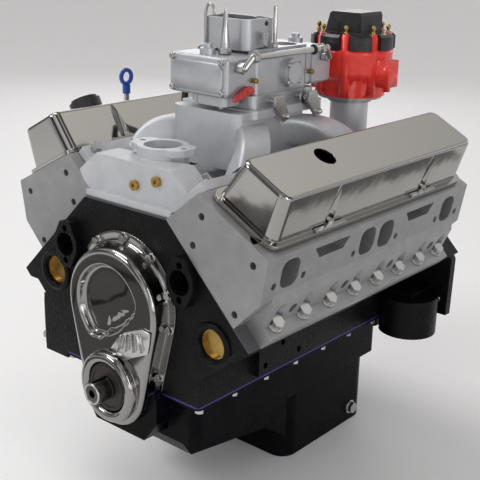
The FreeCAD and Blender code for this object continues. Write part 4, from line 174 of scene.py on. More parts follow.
join_up(direction.outputs["Generated"], split.inputs["Vector"])
join_up(direction.outputs["Generated"], patches.inputs["Vector"])
join_up(split.outputs["Z"], climb.inputs["Fac"])
join_up(patches.outputs["Fac"], contrast.inputs["Fac"])
join_up(climb.outputs["Color"], room.inputs["A"])
join_up(contrast.outputs["Color"], room.inputs["B"])
join_up(room.outputs["Result"], surround.inputs["Color"])
print("tones from horizon to ceiling:", len(climb.color_ramp.elements))

# %% [markdown]
# ## The lamps
# Four large soft lamps stand round the engine. Their edges draw the bright stripes along the
# covers, and their size keeps the shadows on the floor soft.

# %% Four soft lamps
MIDDLE = Vector((0, -0.28, 0.15))
# Each lamp's name, place, width, height and watts.
LAMPS = (
    ("key_lamp", (-1.3, -2.6, 2.2), 1.2, 0.8, 30),
    ("top_lamp", (-1.2, -0.4, 2.8), 0.8, 1.6, 16),
    ("side_lamp", (2.8, -0.9, 1.3), 0.4, 1.8, 12),
    ("rear_lamp", (-2.2, 2.2, 1.3), 1.6, 1.0, 10),
)
for name, place, wide, tall, watts in LAMPS:
    bpy.ops.object.light_add(type="AREA", location=place)
    lamp = bpy.context.object
    lamp.name = name
    lamp.data.shape = "RECTANGLE"
    lamp.data.size = wide
    lamp.data.size_y = tall
    lamp.data.energy = watts
    lamp.rotation_euler = (MIDDLE - Vector(place)).to_track_quat("-Z", "Y").to_euler()
print("lamps:", len(LAMPS))

# %% [markdown]
# ## Dark cards
# Bright plating on a bright floor looks flat, so a studio lays dark cards just outside the
# picture. They give the chrome its dark bands. These lie on the floor and are seen by
# reflections alone: they are hidden from the camera and neither darken nor shade the floor.

# %% Cards that only reflections see
CARD_LIFT = 0.002
CARD_LEVEL = STANDS_AT + CARD_LIFT
STRIPE_LEVEL = CARD_LEVEL + CARD_LIFT
CARD_ROUGHNESS = 0.9
# Each card's name, place, width, length and tone.
CARDS = (
    ("front_card", (-0.72, -1.30, CARD_LEVEL), 0.80, 1.00, 0.13),
    ("front_stripe", (-0.64, -1.30, STRIPE_LEVEL), 0.05, 1.00, 0.004),
    ("side_card", (0.66, 0.30, CARD_LEVEL), 0.34, 1.10, 0.22),
)
for name, place, wide, long, tone in CARDS:
    bpy.ops.object.select_all(action="DESELECT")
    bpy.ops.mesh.primitive_plane_add(size=1, location=place)
    card = bpy.context.object
    card.name = name
    card.scale = (wide, long, 1)
    card.data.materials.append(plain_finish(name, (tone, tone, tone), 0, CARD_ROUGHNESS))
    card.visible_camera = False
    card.visible_diffuse = False
    card.visible_shadow = False
print("cards:", len(CARDS))

# %% [markdown]
# ## Finishes
# A finish is a Principled shader with a little of the process that made the surface: sand
# leaves grain on a casting, a mill leaves fine lines, plating ripples slightly, paint dulls in
# the low spots. Each is noise on the piece's own coordinates, mixed into colour, roughness and
# bump. Four small helpers write that down once.

# %% Noise on a piece's own coordinates
def grain(finish, scale, detail, stretch=(1, 1, 1)):
    """A noise in cells per metre, finer along an axis whose stretch is large."""
    tree = finish.node_tree
    coordinates = tree.nodes.new("ShaderNodeTexCoord")
    mapping = tree.nodes.new("ShaderNodeMapping")
    mapping.inputs["Scale"].default_value = stretch
    noise = tree.nodes.new("ShaderNodeTexNoise")
    noise.inputs["Scale"].default_value = scale
    noise.inputs["Detail"].default_value = detail
    tree.links.new(coordinates.outputs["Object"], mapping.inputs["Vector"])
    tree.links.new(mapping.outputs["Vector"], noise.inputs["Vector"])
    return noise


print("grain ready")

# %% [markdown]
# ### From noise to colour, gloss and relief
# Noise gathers round its middle value, so each helper stretches only that middle part: over a
# colour ramp, over a range of roughness, or into a bump. A bevel node rounds the edges for the
# light alone, which saves a real rounding on every casting.

# %% Colour, gloss and relief
COLOUR_SPAN = (0.35, 0.65)
GLOSS_SPAN = (0.3, 0.7)
EDGE_SAMPLES = 4


def shade_between(finish, noise, dark, light):
    """The noise runs the colour from dark to light."""
    ramp = finish.node_tree.nodes.new("ShaderNodeValToRGB")
    for stop, position, colour in zip(ramp.color_ramp.elements, COLOUR_SPAN, (dark, light)):
        stop.position = position
        stop.color = (*colour, 1)
    finish.node_tree.links.new(noise.outputs["Fac"], ramp.inputs["Fac"])
    finish.node_tree.links.new(ramp.outputs["Color"], shader_of(finish).inputs["Base Color"])


def dull_between(finish, noise, smooth, rough):
    """The noise runs the roughness from smooth to rough."""
    spread = finish.node_tree.nodes.new("ShaderNodeMapRange")
    spread.inputs["From Min"].default_value = GLOSS_SPAN[0]
    spread.inputs["From Max"].default_value = GLOSS_SPAN[1]
    spread.inputs["To Min"].default_value = smooth
    spread.inputs["To Max"].default_value = rough
    finish.node_tree.links.new(noise.outputs["Fac"], spread.inputs["Value"])
    finish.node_tree.links.new(spread.outputs["Result"], shader_of(finish).inputs["Roughness"])


def raise_by(finish, noise, height, soft_edge):
    """The noise lifts the surface by a height, over edges softened by a radius, both in metres."""
    tree = finish.node_tree
    bump = tree.nodes.new("ShaderNodeBump")
    bump.inputs["Strength"].default_value = 1
    bump.inputs["Distance"].default_value = height
    tree.links.new(noise.outputs["Fac"], bump.inputs["Height"])
    edge = tree.nodes.new("ShaderNodeBevel")
    edge.samples = EDGE_SAMPLES
    edge.inputs["Radius"].default_value = soft_edge
    tree.links.new(edge.outputs["Normal"], bump.inputs["Normal"])
    tree.links.new(bump.outputs["Normal"], shader_of(finish).inputs["Normal"])


print("colour, gloss and relief ready")

# %% [markdown]
# ### Cast surfaces
# The block is iron with a black paint that shows the sand mould through it. The heads and the
# intake are bare aluminium, blasted to an even pale grey, and the carburettor is bright zinc.
# Broad clouds tint them all, and a fine sand grain carries the gloss and the relief.

# %% Cast iron, aluminium and zinc
CLOUD_SCALE = 38
CLOUD_DETAIL = 6
SAND_DETAIL = 3


def cast(name, dark, light, metallic, smooth, rough, sand_scale, height, soft_edge):
    finish = plain_finish(name, light, metallic, rough)
    shade_between(finish, grain(finish, CLOUD_SCALE, CLOUD_DETAIL), dark, light)
    sand = grain(finish, sand_scale, SAND_DETAIL)
    dull_between(finish, sand, smooth, rough)
    raise_by(finish, sand, height, soft_edge)
    return finish


black_iron = cast("black_painted_iron", dark=(0.003, 0.003, 0.003), light=(0.006, 0.006, 0.007),
                  metallic=0.0, smooth=0.24, rough=0.42, sand_scale=330, height=0.0010, soft_edge=0.0012)
head_metal = cast("blasted_head_aluminium", dark=(0.310, 0.310, 0.312), light=(0.350, 0.350, 0.353),
                  metallic=0.6, smooth=0.36, rough=0.46, sand_scale=900, height=0.00015, soft_edge=0.0010)
intake_metal = cast("cast_intake_aluminium", dark=(0.53, 0.54, 0.56), light=(0.59, 0.60, 0.62),
                    metallic=0.45, smooth=0.38, rough=0.50, sand_scale=800, height=0.00018,
                    soft_edge=0.0012)
bright_zinc = cast("bright_carburettor_zinc", dark=(0.48, 0.49, 0.51), light=(0.54, 0.55, 0.57),
                   metallic=0.70, smooth=0.30, rough=0.40, sand_scale=300, height=0.00001,
                   soft_edge=0.0006)
pan_paint = cast("satin_black_pan_paint", dark=(0.002, 0.002, 0.003), light=(0.004, 0.004, 0.005),
                 metallic=0.0, smooth=0.20, rough=0.30, sand_scale=160, height=0.00005, soft_edge=0.0015)
for black_paint, gloss in ((black_iron, 0.12), (pan_paint, 0.05)):
    shader_of(black_paint).inputs["Specular IOR Level"].default_value = gloss
print("cast finishes: 5")

# %% [markdown]
# ### Plated surfaces
# Chrome is a mirror with a faint ripple from the polishing under it. Zinc plate on bolts is the
# same thing, duller. Neither needs any colour variation, so the noise goes to gloss and relief.

# %% Chrome and zinc plate
RIPPLE_SCALE = 26
RIPPLE_DETAIL = 2
PLATED_EDGE = 0.0012


def plated(name, colour, smooth, rough, ripple):
    finish = plain_finish(name, colour, 1, smooth)
    noise = grain(finish, RIPPLE_SCALE, RIPPLE_DETAIL)
    dull_between(finish, noise, smooth, rough)
    raise_by(finish, noise, ripple, PLATED_EDGE)
    return finish


chrome = plated("warm_cover_chrome", (0.36, 0.352, 0.335), smooth=0.05, rough=0.09, ripple=0.00016)
zinc_plate = plated("zinc_plated_bolt", (0.52, 0.52, 0.51), smooth=0.16, rough=0.28, ripple=0.00005)
print("plated finishes: 2")

# %% [markdown]
# ### Turned and milled surfaces
# A lathe leaves rings and a mill leaves lines. Both are noise that is much finer across the lines
# than along them, so the stretch is large across the lines and one along them.

# %% Steel, brass and bearing metal
TOOL_MARK_SCALE = 60
TOOL_MARK_DETAIL = 5
TOOL_MARK_HEIGHT = 0.00004
MILLED_EDGE = 0.0005


def milled(name, dark, light, smooth, rough, stretch):
    finish = plain_finish(name, light, 1, rough)
    noise = grain(finish, TOOL_MARK_SCALE, TOOL_MARK_DETAIL, stretch)
    shade_between(finish, noise, dark, light)
    dull_between(finish, noise, smooth, rough)
    raise_by(finish, noise, TOOL_MARK_HEIGHT, MILLED_EDGE)
    return finish


turned_steel = milled("turned_steel", dark=(0.22, 0.22, 0.22), light=(0.34, 0.34, 0.34),
                      smooth=0.18, rough=0.32, stretch=(1, 14, 1))
dark_steel = milled("oiled_dark_steel", dark=(0.10, 0.10, 0.11), light=(0.20, 0.20, 0.21),
                    smooth=0.22, rough=0.38, stretch=(1, 10, 1))
crank_steel = milled("oiled_crank_steel", dark=(0.08, 0.075, 0.07), light=(0.15, 0.14, 0.13),
                     smooth=0.22, rough=0.36, stretch=(1, 14, 1))
piston_metal = milled("turned_piston_aluminium", dark=(0.62, 0.62, 0.63), light=(0.74, 0.74, 0.74),
                      smooth=0.22, rough=0.34, stretch=(1, 1, 16))
bearing_metal = milled("smooth_bearing_metal", dark=(0.52, 0.51, 0.49), light=(0.66, 0.65, 0.62),
                       smooth=0.20, rough=0.32, stretch=(1, 8, 1))
plug_brass = milled("plug_brass", dark=(0.36, 0.23, 0.06), light=(0.52, 0.35, 0.11),
                    smooth=0.24, rough=0.40, stretch=(1, 6, 1))
print("milled finishes: 6")

# %% [markdown]
# ### Rubber, gasket and plastic
# These are not metals. Rubber and gasket sheet are matt with a fine grain, and the moulded cap
# is glossy with a faint orange-peel, which is the same noise made coarser and higher.

# %% Rubber, gasket sheet and moulded plastic
MOULD_DETAIL = 4
MOULDED_EDGE = 0.0008


def moulded(name, dark, light, smooth, rough, grains, height):
    finish = plain_finish(name, light, 0, rough)
    noise = grain(finish, grains, MOULD_DETAIL)
    shade_between(finish, noise, dark, light)
    dull_between(finish, noise, smooth, rough)
    raise_by(finish, noise, height, MOULDED_EDGE)
    return finish


black_rubber = moulded("black_rubber", dark=(0.010, 0.010, 0.010), light=(0.022, 0.022, 0.022),
                       smooth=0.45, rough=0.60, grains=500, height=0.00006)
seal_rubber = moulded("red_seal_rubber", dark=(0.030, 0.008, 0.007), light=(0.060, 0.014, 0.011),
                      smooth=0.40, rough=0.55, grains=500, height=0.00005)
pan_rubber = moulded("blue_pan_gasket", dark=(0.022, 0.014, 0.12), light=(0.04, 0.025, 0.22),
                     smooth=0.40, rough=0.55, grains=400, height=0.00005)
gasket_sheet = moulded("grey_gasket_sheet", dark=(0.05, 0.05, 0.055), light=(0.10, 0.10, 0.105),
                       smooth=0.55, rough=0.70, grains=700, height=0.00005)
cap_red = moulded("red_distributor_cap", dark=(0.74, 0.034, 0.024), light=(0.84, 0.046, 0.034),
                  smooth=0.16, rough=0.26, grains=90, height=0.00010)
cap_black = moulded("black_coil_cover", dark=(0.008, 0.008, 0.009), light=(0.016, 0.016, 0.018),
                    smooth=0.18, rough=0.30, grains=90, height=0.00010)
lever_red = moulded("red_pump_cam", dark=(0.44, 0.03, 0.03), light=(0.60, 0.06, 0.05),
                    smooth=0.25, rough=0.40, grains=200, height=0.00004)
handle_blue = moulded("blue_dipstick_handle", dark=(0.01, 0.06, 0.34), light=(0.02, 0.10, 0.50),
                      smooth=0.16, rough=0.28, grains=120, height=0.00004)
breather_paint = moulded("black_breather_paint", dark=(0.010, 0.010, 0.010), light=(0.020, 0.020, 0.021),
                         smooth=0.30, rough=0.44, grains=300, height=0.00006)
print("soft and moulded finishes: 9")

# %% [markdown]
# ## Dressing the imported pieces
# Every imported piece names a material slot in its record, so one small table says which finish
# each slot wears, and no piece is forgotten. The crankshaft, the carburettor's plates and the
# front seal share a slot with other pieces but look different, so they are dressed by name.

# %% Which finish each slot wears
WEARS = {
    "painted_iron": black_iron,
    "machined_steel": turned_steel,
    "dark_steel": dark_steel,
    "bearing_metal": bearing_metal,
    "piston_alloy": piston_metal,
    "head_alloy": head_metal,
    "intake_alloy": intake_metal,
    "gasket_sheet": gasket_sheet,
    "pan_gasket_rubber": pan_rubber,
    "cover_chrome": chrome,
    "pale_bolts": zinc_plate,
    "plug_brass": plug_brass,
    "seal_rubber": seal_rubber,
    "pan_paint": pan_paint,
    "carb_zinc": bright_zinc,
    "hose_rubber": black_rubber,
    "lever_red": lever_red,
    "cap_red": cap_red,
    "cap_black": cap_black,
    "handle_blue": handle_blue,
    "breather_black": breather_paint,
}
DRESSED_BY_NAME = {
    "crankshaft": crank_steel,
    "primary_throttle": zinc_plate,
    "secondary_throttle": zinc_plate,
    "choke_plate": zinc_plate,
    "crank_seal": black_rubber,
}
for row in frame["record"]["subparts"]:
    piece = nodes_of_cad[row["node"]]
    piece.data.materials.clear()
    piece.data.materials.append(WEARS[row["material_slot"]])
for name, finish in DRESSED_BY_NAME.items():
    nodes_of_cad[name].data.materials[0] = finish

# %% [markdown]
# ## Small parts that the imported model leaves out
# Screws, fittings, levers and rods are modelled here by hand: a primitive, a few extrusions and
# a bevel. Places are written in millimetres, as on a drawing, and +Y points to the engine's
# rear. These first helpers stand a piece in its place, copy a pattern, join what is one part,
# and hand the part over with its finish.

# %% Placing, copying and joining
MM = 0.001
FORWARD = (0, -1, 0)
REARWARD = (0, 1, 0)
UPWARD = (0, 0, 1)
DOWNWARD = (0, 0, -1)
LEFTWARD = (1, 0, 0)
SMOOTH_ANGLE = 35
QUARTER_TURN = math.radians(90)


def point(x, y, z):
    return Vector((x, y, z)) * MM


def alone(piece):
    bpy.ops.object.select_all(action="DESELECT")
    piece.select_set(True)
    bpy.context.view_layer.objects.active = piece


def moved(piece, matrix):
    """Moves the piece and writes the move into its mesh."""
    piece.matrix_world = matrix
    alone(piece)
    bpy.ops.object.transform_apply(location=True, rotation=True, scale=True)
    return piece


def placed(piece, at, axis=UPWARD, turn=0):
    """Stands the piece's own Z along an axis, at a place in millimetres."""
    stand = Vector(axis).to_track_quat("Z", "Y").to_matrix().to_4x4()
    return moved(piece, Matrix.Translation(point(*at)) @ stand @ Matrix.Rotation(turn, 4, "Z"))


def copied(pattern, at, axis=UPWARD, turn=0):
    """A copy with a mesh of its own, placed as above, while the pattern stays at the origin."""
    alone(pattern)
    bpy.ops.object.duplicate(linked=False)
    return placed(bpy.context.object, at, axis, turn)


def thrown_away(pattern):
    alone(pattern)
    bpy.ops.object.delete()


def joined(name, pieces):
    bpy.ops.object.select_all(action="DESELECT")
    for piece in pieces:
        piece.select_set(True)
    bpy.context.view_layer.objects.active = pieces[0]
    if len(pieces) > 1:
        bpy.ops.object.join()
    whole = bpy.context.object
    whole.name = name
    whole.data.name = name
    return whole


def finished(piece, finish, body="engine", smooth=SMOOTH_ANGLE):
    """Gives the piece its finish and smooth shading, and the body that it belongs to."""
    piece.data.materials.clear()
    piece.data.materials.append(finish)
    alone(piece)
    bpy.ops.object.shade_smooth_by_angle(angle=math.radians(smooth))
    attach(piece, body)
    return piece


print("placing helpers ready")

# %% [markdown]
# ### Turned parts
# A screw head, a nut and a tube are all turned parts. One is a filled disc that is pulled up and
# pinched, ring after ring, which is quicker than a spin and closes both ends by itself. With six
# sides the same steps give a hexagon nut.

# %% A turned part
TURNED_SIDES = 28


def opened(piece):
    """Opens the piece's mesh, with everything on it selected."""
    alone(piece)
    bpy.ops.object.mode_set(mode="EDIT")
    bpy.ops.mesh.select_all(action="SELECT")


def outward():
    """Turns all faces of the open mesh outwards."""
    bpy.ops.mesh.select_all(action="SELECT")
    bpy.ops.mesh.normals_make_consistent(inside=False)


def turned(name, rings, sides=TURNED_SIDES):
    """A part turned about Z, from (radius, height) rings in millimetres, bottom to top."""
    bpy.ops.object.select_all(action="DESELECT")
    bpy.ops.mesh.primitive_circle_add(vertices=sides, radius=rings[0][0] * MM, fill_type="NGON",
                                      location=(0, 0, rings[0][1] * MM))
    piece = bpy.context.object
    piece.name = name
    bpy.ops.object.transform_apply(location=True)
    opened(piece)
    for (radius, height), (next_radius, next_height) in zip(rings, rings[1:]):
        rise = {"value": (0, 0, (next_height - height) * MM)}
        bpy.ops.mesh.extrude_region_move(TRANSFORM_OT_translate=rise)
        pinch = next_radius / radius
        bpy.ops.transform.resize(value=(pinch, pinch, 1), center_override=(0, 0, next_height * MM))
    outward()
    bpy.ops.object.mode_set(mode="OBJECT")
    return piece


print("turned parts ready")

# %% [markdown]
# ### The bowl screws
# Four washer-head screws with a socket clamp each float bowl. One screw is modelled and copied
# to the eight places.

# %% Bowl screws
BOWL_FRONT_Y = -382
BOWL_REAR_Y = -146
SCREW_RINGS = ((5.4, 0), (5.4, 1.0), (4.2, 1.2), (4.2, 4.4), (3.5, 5.2), (1.6, 5.2), (1.5, 3.4))
SCREW_SIDES = 12
SCREW_SPOTS = ((-45, 383), (-45, 425), (45, 383), (45, 425))

screw = turned("screw_pattern", SCREW_RINGS, SCREW_SIDES)
heads = [copied(screw, (x, BOWL_FRONT_Y, z), FORWARD) for x, z in SCREW_SPOTS]
heads += [copied(screw, (x, BOWL_REAR_Y, z), REARWARD) for x, z in SCREW_SPOTS]
thrown_away(screw)
finished(joined("bowl_screws", heads), zinc_plate)
print("bowl screws:", len(heads))

# %% [markdown]
# ### The bowl panels
# Each bowl's face carries a raised panel with clipped corners. A plate starts as a circle with
# one point for each corner of the outline. The points are moved to the corners, the face is
# pulled up to a thickness, and a small bevel softens the edges.

# %% Plates and the bowl panels
BEVEL_SEGMENTS = 2
PANEL_WIDE = 92
PANEL_TALL = 40
PANEL_CLIP = 8
PANEL_THICK = 3.2
PANEL_BEVEL = 1.2
PANEL_SINK = 0.4
PANEL_Z = 402


def plate(name, outline, thick, bevel):
    """A flat plate on the XY plane, from its outline in millimetres, with softened edges."""
    bpy.ops.object.select_all(action="DESELECT")
    bpy.ops.mesh.primitive_circle_add(vertices=len(outline), radius=1, fill_type="NGON")
    piece = bpy.context.object
    piece.name = name
    for vertex, (x, y) in zip(piece.data.vertices, outline):
        vertex.co = point(x, y, 0)
    opened(piece)
    bpy.ops.mesh.extrude_region_move(TRANSFORM_OT_translate={"value": (0, 0, thick * MM)})
    outward()
    bpy.ops.mesh.bevel(offset=bevel * MM, segments=BEVEL_SEGMENTS, affect="EDGES")
    bpy.ops.object.mode_set(mode="OBJECT")
    return piece


def clipped(wide, tall, clip):
    """A rectangle's outline with clipped corners."""
    x = wide / 2
    y = tall / 2
    return [(x, y - clip), (x - clip, y), (clip - x, y), (-x, y - clip), (-x, clip - y), (clip - x, -y),
            (x - clip, -y), (x, clip - y)]


panels = []
for bowl_y, sink, facing in ((BOWL_FRONT_Y, PANEL_SINK, FORWARD), (BOWL_REAR_Y, -PANEL_SINK, REARWARD)):
    panel = plate("panel", clipped(PANEL_WIDE, PANEL_TALL, PANEL_CLIP), PANEL_THICK, PANEL_BEVEL)
    panels.append(placed(panel, (0, bowl_y + sink, PANEL_Z), facing))
finished(joined("bowl_panels", panels), bright_zinc)
print("bowl panels:", len(panels))

# %% [markdown]
# ### The vent tube
# A tapered vent tube stands on the front bowl, in a hexagon nut. It is a turned part whose rings
# grow narrower upwards.

# %% Vent tube
VENT_AT = (20.4, -350, 431)
VENT_RINGS = ((8.5, 0), (8.5, 4), (6.5, 5), (6.5, 10), (3.2, 52), (1.8, 55), (1.8, 60))
VENT_NUT_RINGS = ((9.5, 0), (9.5, 6), (8.6, 7), (6.6, 7))
NUT_SIDES = 6

vent = placed(turned("vent_tube", VENT_RINGS), VENT_AT)
vent_nut = placed(turned("vent_nut", VENT_NUT_RINGS, NUT_SIDES), VENT_AT)
finished(joined("bowl_vent_tube", [vent, vent_nut]), zinc_plate)
print("vent tube's top in mm:", VENT_AT[2] + VENT_RINGS[-1][1])

# %% [markdown]
# ### The hooked rod
# A round rod rises beside the air horn and bends over at its top. A smooth spline with a round
# bevel follows such a bend better than any primitive, and is then made a mesh.

# %% Hooked rod
HOOK_PATH = ((-31, -333, 434), (-31, -333, 452), (-31, -333, 470), (-31, -333, 484),
             (-27, -333, 493), (-19, -333, 493), (-15, -333, 486), (-15, -333, 479))
HOOK_RADIUS = 2.2
HOOK_ORDER = 3
HOOK_STEPS = 6
HOOK_ROUNDNESS = 3

bpy.ops.object.select_all(action="DESELECT")
bpy.ops.curve.primitive_nurbs_path_add()
rod = bpy.context.object
rod.name = "hooked_rod"
spline = rod.data.splines[0]
spline.points.add(len(HOOK_PATH) - len(spline.points))
for knot, place in zip(spline.points, HOOK_PATH):
    knot.co = (*point(*place), 1)
spline.order_u = HOOK_ORDER
spline.use_endpoint_u = True
spline.resolution_u = HOOK_STEPS
rod.data.bevel_depth = HOOK_RADIUS * MM
rod.data.bevel_resolution = HOOK_ROUNDNESS
rod.data.use_fill_caps = True
bpy.ops.object.convert(target="MESH")
finished(bpy.context.object, zinc_plate)
print("points on the hooked rod's path:", len(HOOK_PATH))

# %% [markdown]
# ### The post
# A thin post with a shoulder stands behind the air horn. It is a bright turned part again.

# %% Post
POST_AT = (48, -277, 436)
POST_RINGS = ((4.6, 0), (4.6, 5), (3.0, 6), (3.0, 56), (2.2, 58))

post = placed(turned("horn_post", POST_RINGS), POST_AT)
finished(joined("air_cleaner_post", [post]), zinc_plate)
print("post's top in mm:", POST_AT[2] + POST_RINGS[-1][1])

# %% [markdown]
# ### The transfer tube's nuts and ring
# The bent tube between the bowls ends in hexagon nuts, one on each leg and one at each bowl. A
# black ring seals its long run, and a torus is just right for a round ring.

# %% Tube nuts and ring
TUBE_NUT_RINGS = ((7.5, 0), (7.5, 9), (6.8, 10), (5.0, 10))
TUBE_NUTS = (((55, -360, 416), LEFTWARD), ((55, -168, 416), LEFTWARD),
             ((68, -338, 430), FORWARD), ((68, -196, 430), REARWARD))
RING_AT = (68, -212, 430)
RING_RADIUS = 5.6
RING_THICK = 1.8


def hoop(name, radius, thick, around=56, across=10):
    """A round ring on the XY plane, from the radius of its middle line and of its section."""
    bpy.ops.object.select_all(action="DESELECT")
    bpy.ops.mesh.primitive_torus_add(major_radius=radius * MM, minor_radius=thick * MM,
                                     major_segments=around, minor_segments=across)
    piece = bpy.context.object
    piece.name = name
    return piece


tube_nut = turned("nut_pattern", TUBE_NUT_RINGS, NUT_SIDES)
nuts = [copied(tube_nut, at, facing) for at, facing in TUBE_NUTS]
thrown_away(tube_nut)
finished(joined("transfer_tube_nuts", nuts), zinc_plate)
ring = placed(hoop("tube_ring", RING_RADIUS, RING_THICK), RING_AT, REARWARD)
finished(joined("transfer_tube_ring", [ring]), black_rubber)
print("tube nuts:", len(nuts))

# %% [markdown]
# ### Small screws
# Four small screws hold the round lid on the carburettor's side, and four more hold the pump's
# cover under the front bowl. They are one pattern, turned to face left and down.

# %% Lid screws and pump screws
LID_SCREW_RINGS = ((3.4, 0), (3.4, 1.6), (2.6, 2.6), (1.2, 2.6), (1.0, 1.4))
LID_X = 60.4
LID_Y = -246
LID_Z = 399
LID_SCREW_CIRCLE = 17
LID_SCREW_ANGLES = (45, 135, 225, 315)
PUMP_SCREW_SPOTS = ((-8, -374), (-8, -350), (36, -374), (36, -350))
PUMP_SCREW_Z = 363.2

lid_screw = turned("lid_screw_pattern", LID_SCREW_RINGS, SCREW_SIDES)
small_heads = []
for angle in LID_SCREW_ANGLES:
    step = math.cos(math.radians(angle)) * LID_SCREW_CIRCLE
    rise = math.sin(math.radians(angle)) * LID_SCREW_CIRCLE
    small_heads.append(copied(lid_screw, (LID_X, LID_Y + step, LID_Z + rise), LEFTWARD))
for x, y in PUMP_SCREW_SPOTS:
    small_heads.append(copied(lid_screw, (x, y, PUMP_SCREW_Z), DOWNWARD))
thrown_away(lid_screw)
finished(joined("small_screws", small_heads), zinc_plate)
print("small screws:", len(small_heads))

# %% [markdown]
# ### Mixture screws
# A slim brass screw stands out of each side of both metering blocks. Its blind socket is two
# more rings that step back into the head.

# %% Brass mixture screws
NEEDLE_RINGS = ((3.4, 0), (3.4, 9), (2.6, 10), (1.2, 10), (1.0, 8.4))
NEEDLE_SIDES = 16
METERING_HALF_WIDTH = 51
METERING_YS = (-328, -200)
NEEDLE_Z = 396

needle = turned("needle_pattern", NEEDLE_RINGS, NEEDLE_SIDES)
needles = [copied(needle, (side * METERING_HALF_WIDTH, y, NEEDLE_Z), (side, 0, 0))
           for side in (-1, 1) for y in METERING_YS]
thrown_away(needle)
finished(joined("mixture_screws", needles), plug_brass)
print("mixture screws:", len(needles))

# %% [markdown]
# ### Towers and terminals on the distributor
# The cap's towers rise just above the black coil cover's shoulder, and each ends in a small
# brass terminal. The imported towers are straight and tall, so a copy of the cap has everything
# above its shoulder pressed down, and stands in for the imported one.

# %% Tower height
SHOULDER = 432 * MM
PRESSED = 0.42
SAME_SPOT = 0.00001

alone(nodes_of_cad["distributor_cap"])
bpy.ops.object.duplicate(linked=False)
low_cap = bpy.context.object
low_cap.name = "short_towered_cap"
opened(low_cap)
bpy.ops.mesh.remove_doubles(threshold=SAME_SPOT)
bpy.ops.object.mode_set(mode="OBJECT")
for vertex in low_cap.data.vertices:
    if vertex.co.z > SHOULDER:
        vertex.co.z = SHOULDER + (vertex.co.z - SHOULDER) * PRESSED
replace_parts(finished(low_cap, cap_red), "distributor_cap")
print("cap's top in mm:", round(max(vertex.co.z for vertex in low_cap.data.vertices) / MM, 1))

# %% [markdown]
# ### The brass terminals
# Each terminal is a short stem with a waist and a round head. One is turned and copied round
# the circle of towers.

# %% Tower tips
CAP_X = 36
CAP_Y = -65.5
TOWERS = 8
FIRST_TOWER = 22.5
TOWER_STEP = 45
TOWER_CIRCLE = 54.5
TOWER_TOP = 443
TIP_RINGS = ((3.2, 0), (3.2, 3), (2.2, 4), (2.2, 6), (3.6, 8), (3.6, 11), (1.6, 13.5))
TIP_SIDES = 20

tip = turned("tip_pattern", TIP_RINGS, TIP_SIDES)
tips = []
for count in range(TOWERS):
    turn = math.radians(FIRST_TOWER + TOWER_STEP * count)
    at = (CAP_X + TOWER_CIRCLE * math.sin(turn), CAP_Y + TOWER_CIRCLE * math.cos(turn), TOWER_TOP)
    tips.append(copied(tip, at))
thrown_away(tip)
finished(joined("tower_tips", tips), plug_brass)
print("tower tips:", len(tips))

# %% [markdown]
# ### The throttle's bright levers
# A round disc stands on the end of the rear throttle shaft, with a slotted arm outside it. They
# are flat sheet, cut to outline, and they turn with the shaft, so they ride on its body. The
# eye and the slit are not cut: thin black plates on the sheet are painted shade where the holes
# would be dark inside, and at this size a real hole looks the same.

# %% Throttle disc and slotted arm
SHAFT_Y = -231
SHAFT_Z = 366
LEVER_BEVEL = 0.4
ARC_STEP = 15
DISC_RADIUS = 12.5
ARM_ENDS = ((3, -2), (25, -27))
ARM_RADIUS = 6.8
EYE_RADIUS = 4.2
SLIT_ENDS = ((14, -14), (24, -26))
SLIT_RADIUS = 2.4
HOLE_SHADE_X = 74.0
HOLE_SHADE_THICK = 0.5


def sideways(name, outline, x, thick):
    """A flat plate across X, from its outline in (y, z)."""
    piece = plate(name, [(-z, y) for y, z in outline], thick, LEVER_BEVEL)
    return moved(piece, Matrix.Translation(point(x, 0, 0)) @ Matrix.Rotation(QUARTER_TURN, 4, "Y"))


def slot_outline(start, end, radius):
    """A long hole's outline round two centres, given in (y, z) from the throttle shaft."""
    along = math.atan2(end[1] - start[1], end[0] - start[0])
    outline = []
    for centre, first in ((end, -90), (start, 90)):
        for step in range(0, 181, ARC_STEP):
            turn = along + math.radians(first + step)
            outline.append((SHAFT_Y + centre[0] + radius * math.cos(turn),
                            SHAFT_Z + centre[1] + radius * math.sin(turn)))
    return outline


disc = sideways("throttle_disc", slot_outline((0, 0), (1, 0), DISC_RADIUS), x=69.5, thick=2.4)
arm = sideways("throttle_arm", slot_outline(*ARM_ENDS, ARM_RADIUS), x=72.2, thick=2.0)
finished(joined("throttle_lever", [disc, arm]), zinc_plate, body="primary_throttle")
# Thin black plates: painted shade in place of the lever's eye and slit.
eye_shade = sideways("lever_eye_shade", slot_outline((0, 0), (0.5, 0), EYE_RADIUS), HOLE_SHADE_X, HOLE_SHADE_THICK)
slit_shade = sideways("lever_slit_shade", slot_outline(*SLIT_ENDS, SLIT_RADIUS), HOLE_SHADE_X, HOLE_SHADE_THICK)
finished(joined("lever_hole_shade", [eye_shade, slit_shade]), black_rubber, body="primary_throttle")
print("throttle levers: 2, holes: 2")

# %% [markdown]
# ### Painted shade for a hole in the air horn
# The choke shaft's small side hole shows as a dark dot near the air horn's rear corner. It is not
# cut: a shallow black button that stands half a millimetre out is the hole's painted shade.

# %% Painted shade of the air horn hole
HORN_HOLE_SHADE_RINGS = ((3.6, 0), (3.6, 0.5), (3.2, 0.6))
HORN_HOLE_SHADE_SIDES = 20
HORN_HOLE_SHADE_AT = (41.8, -289, 469)

# A black button: painted shade where the hole would be dark inside.
horn_hole_shade = placed(turned("horn_hole_shade", HORN_HOLE_SHADE_RINGS, HORN_HOLE_SHADE_SIDES), HORN_HOLE_SHADE_AT, LEFTWARD)
finished(joined("air_horn_hole_shade", [horn_hole_shade]), black_rubber)
print("air horn hole at", HORN_HOLE_SHADE_AT)

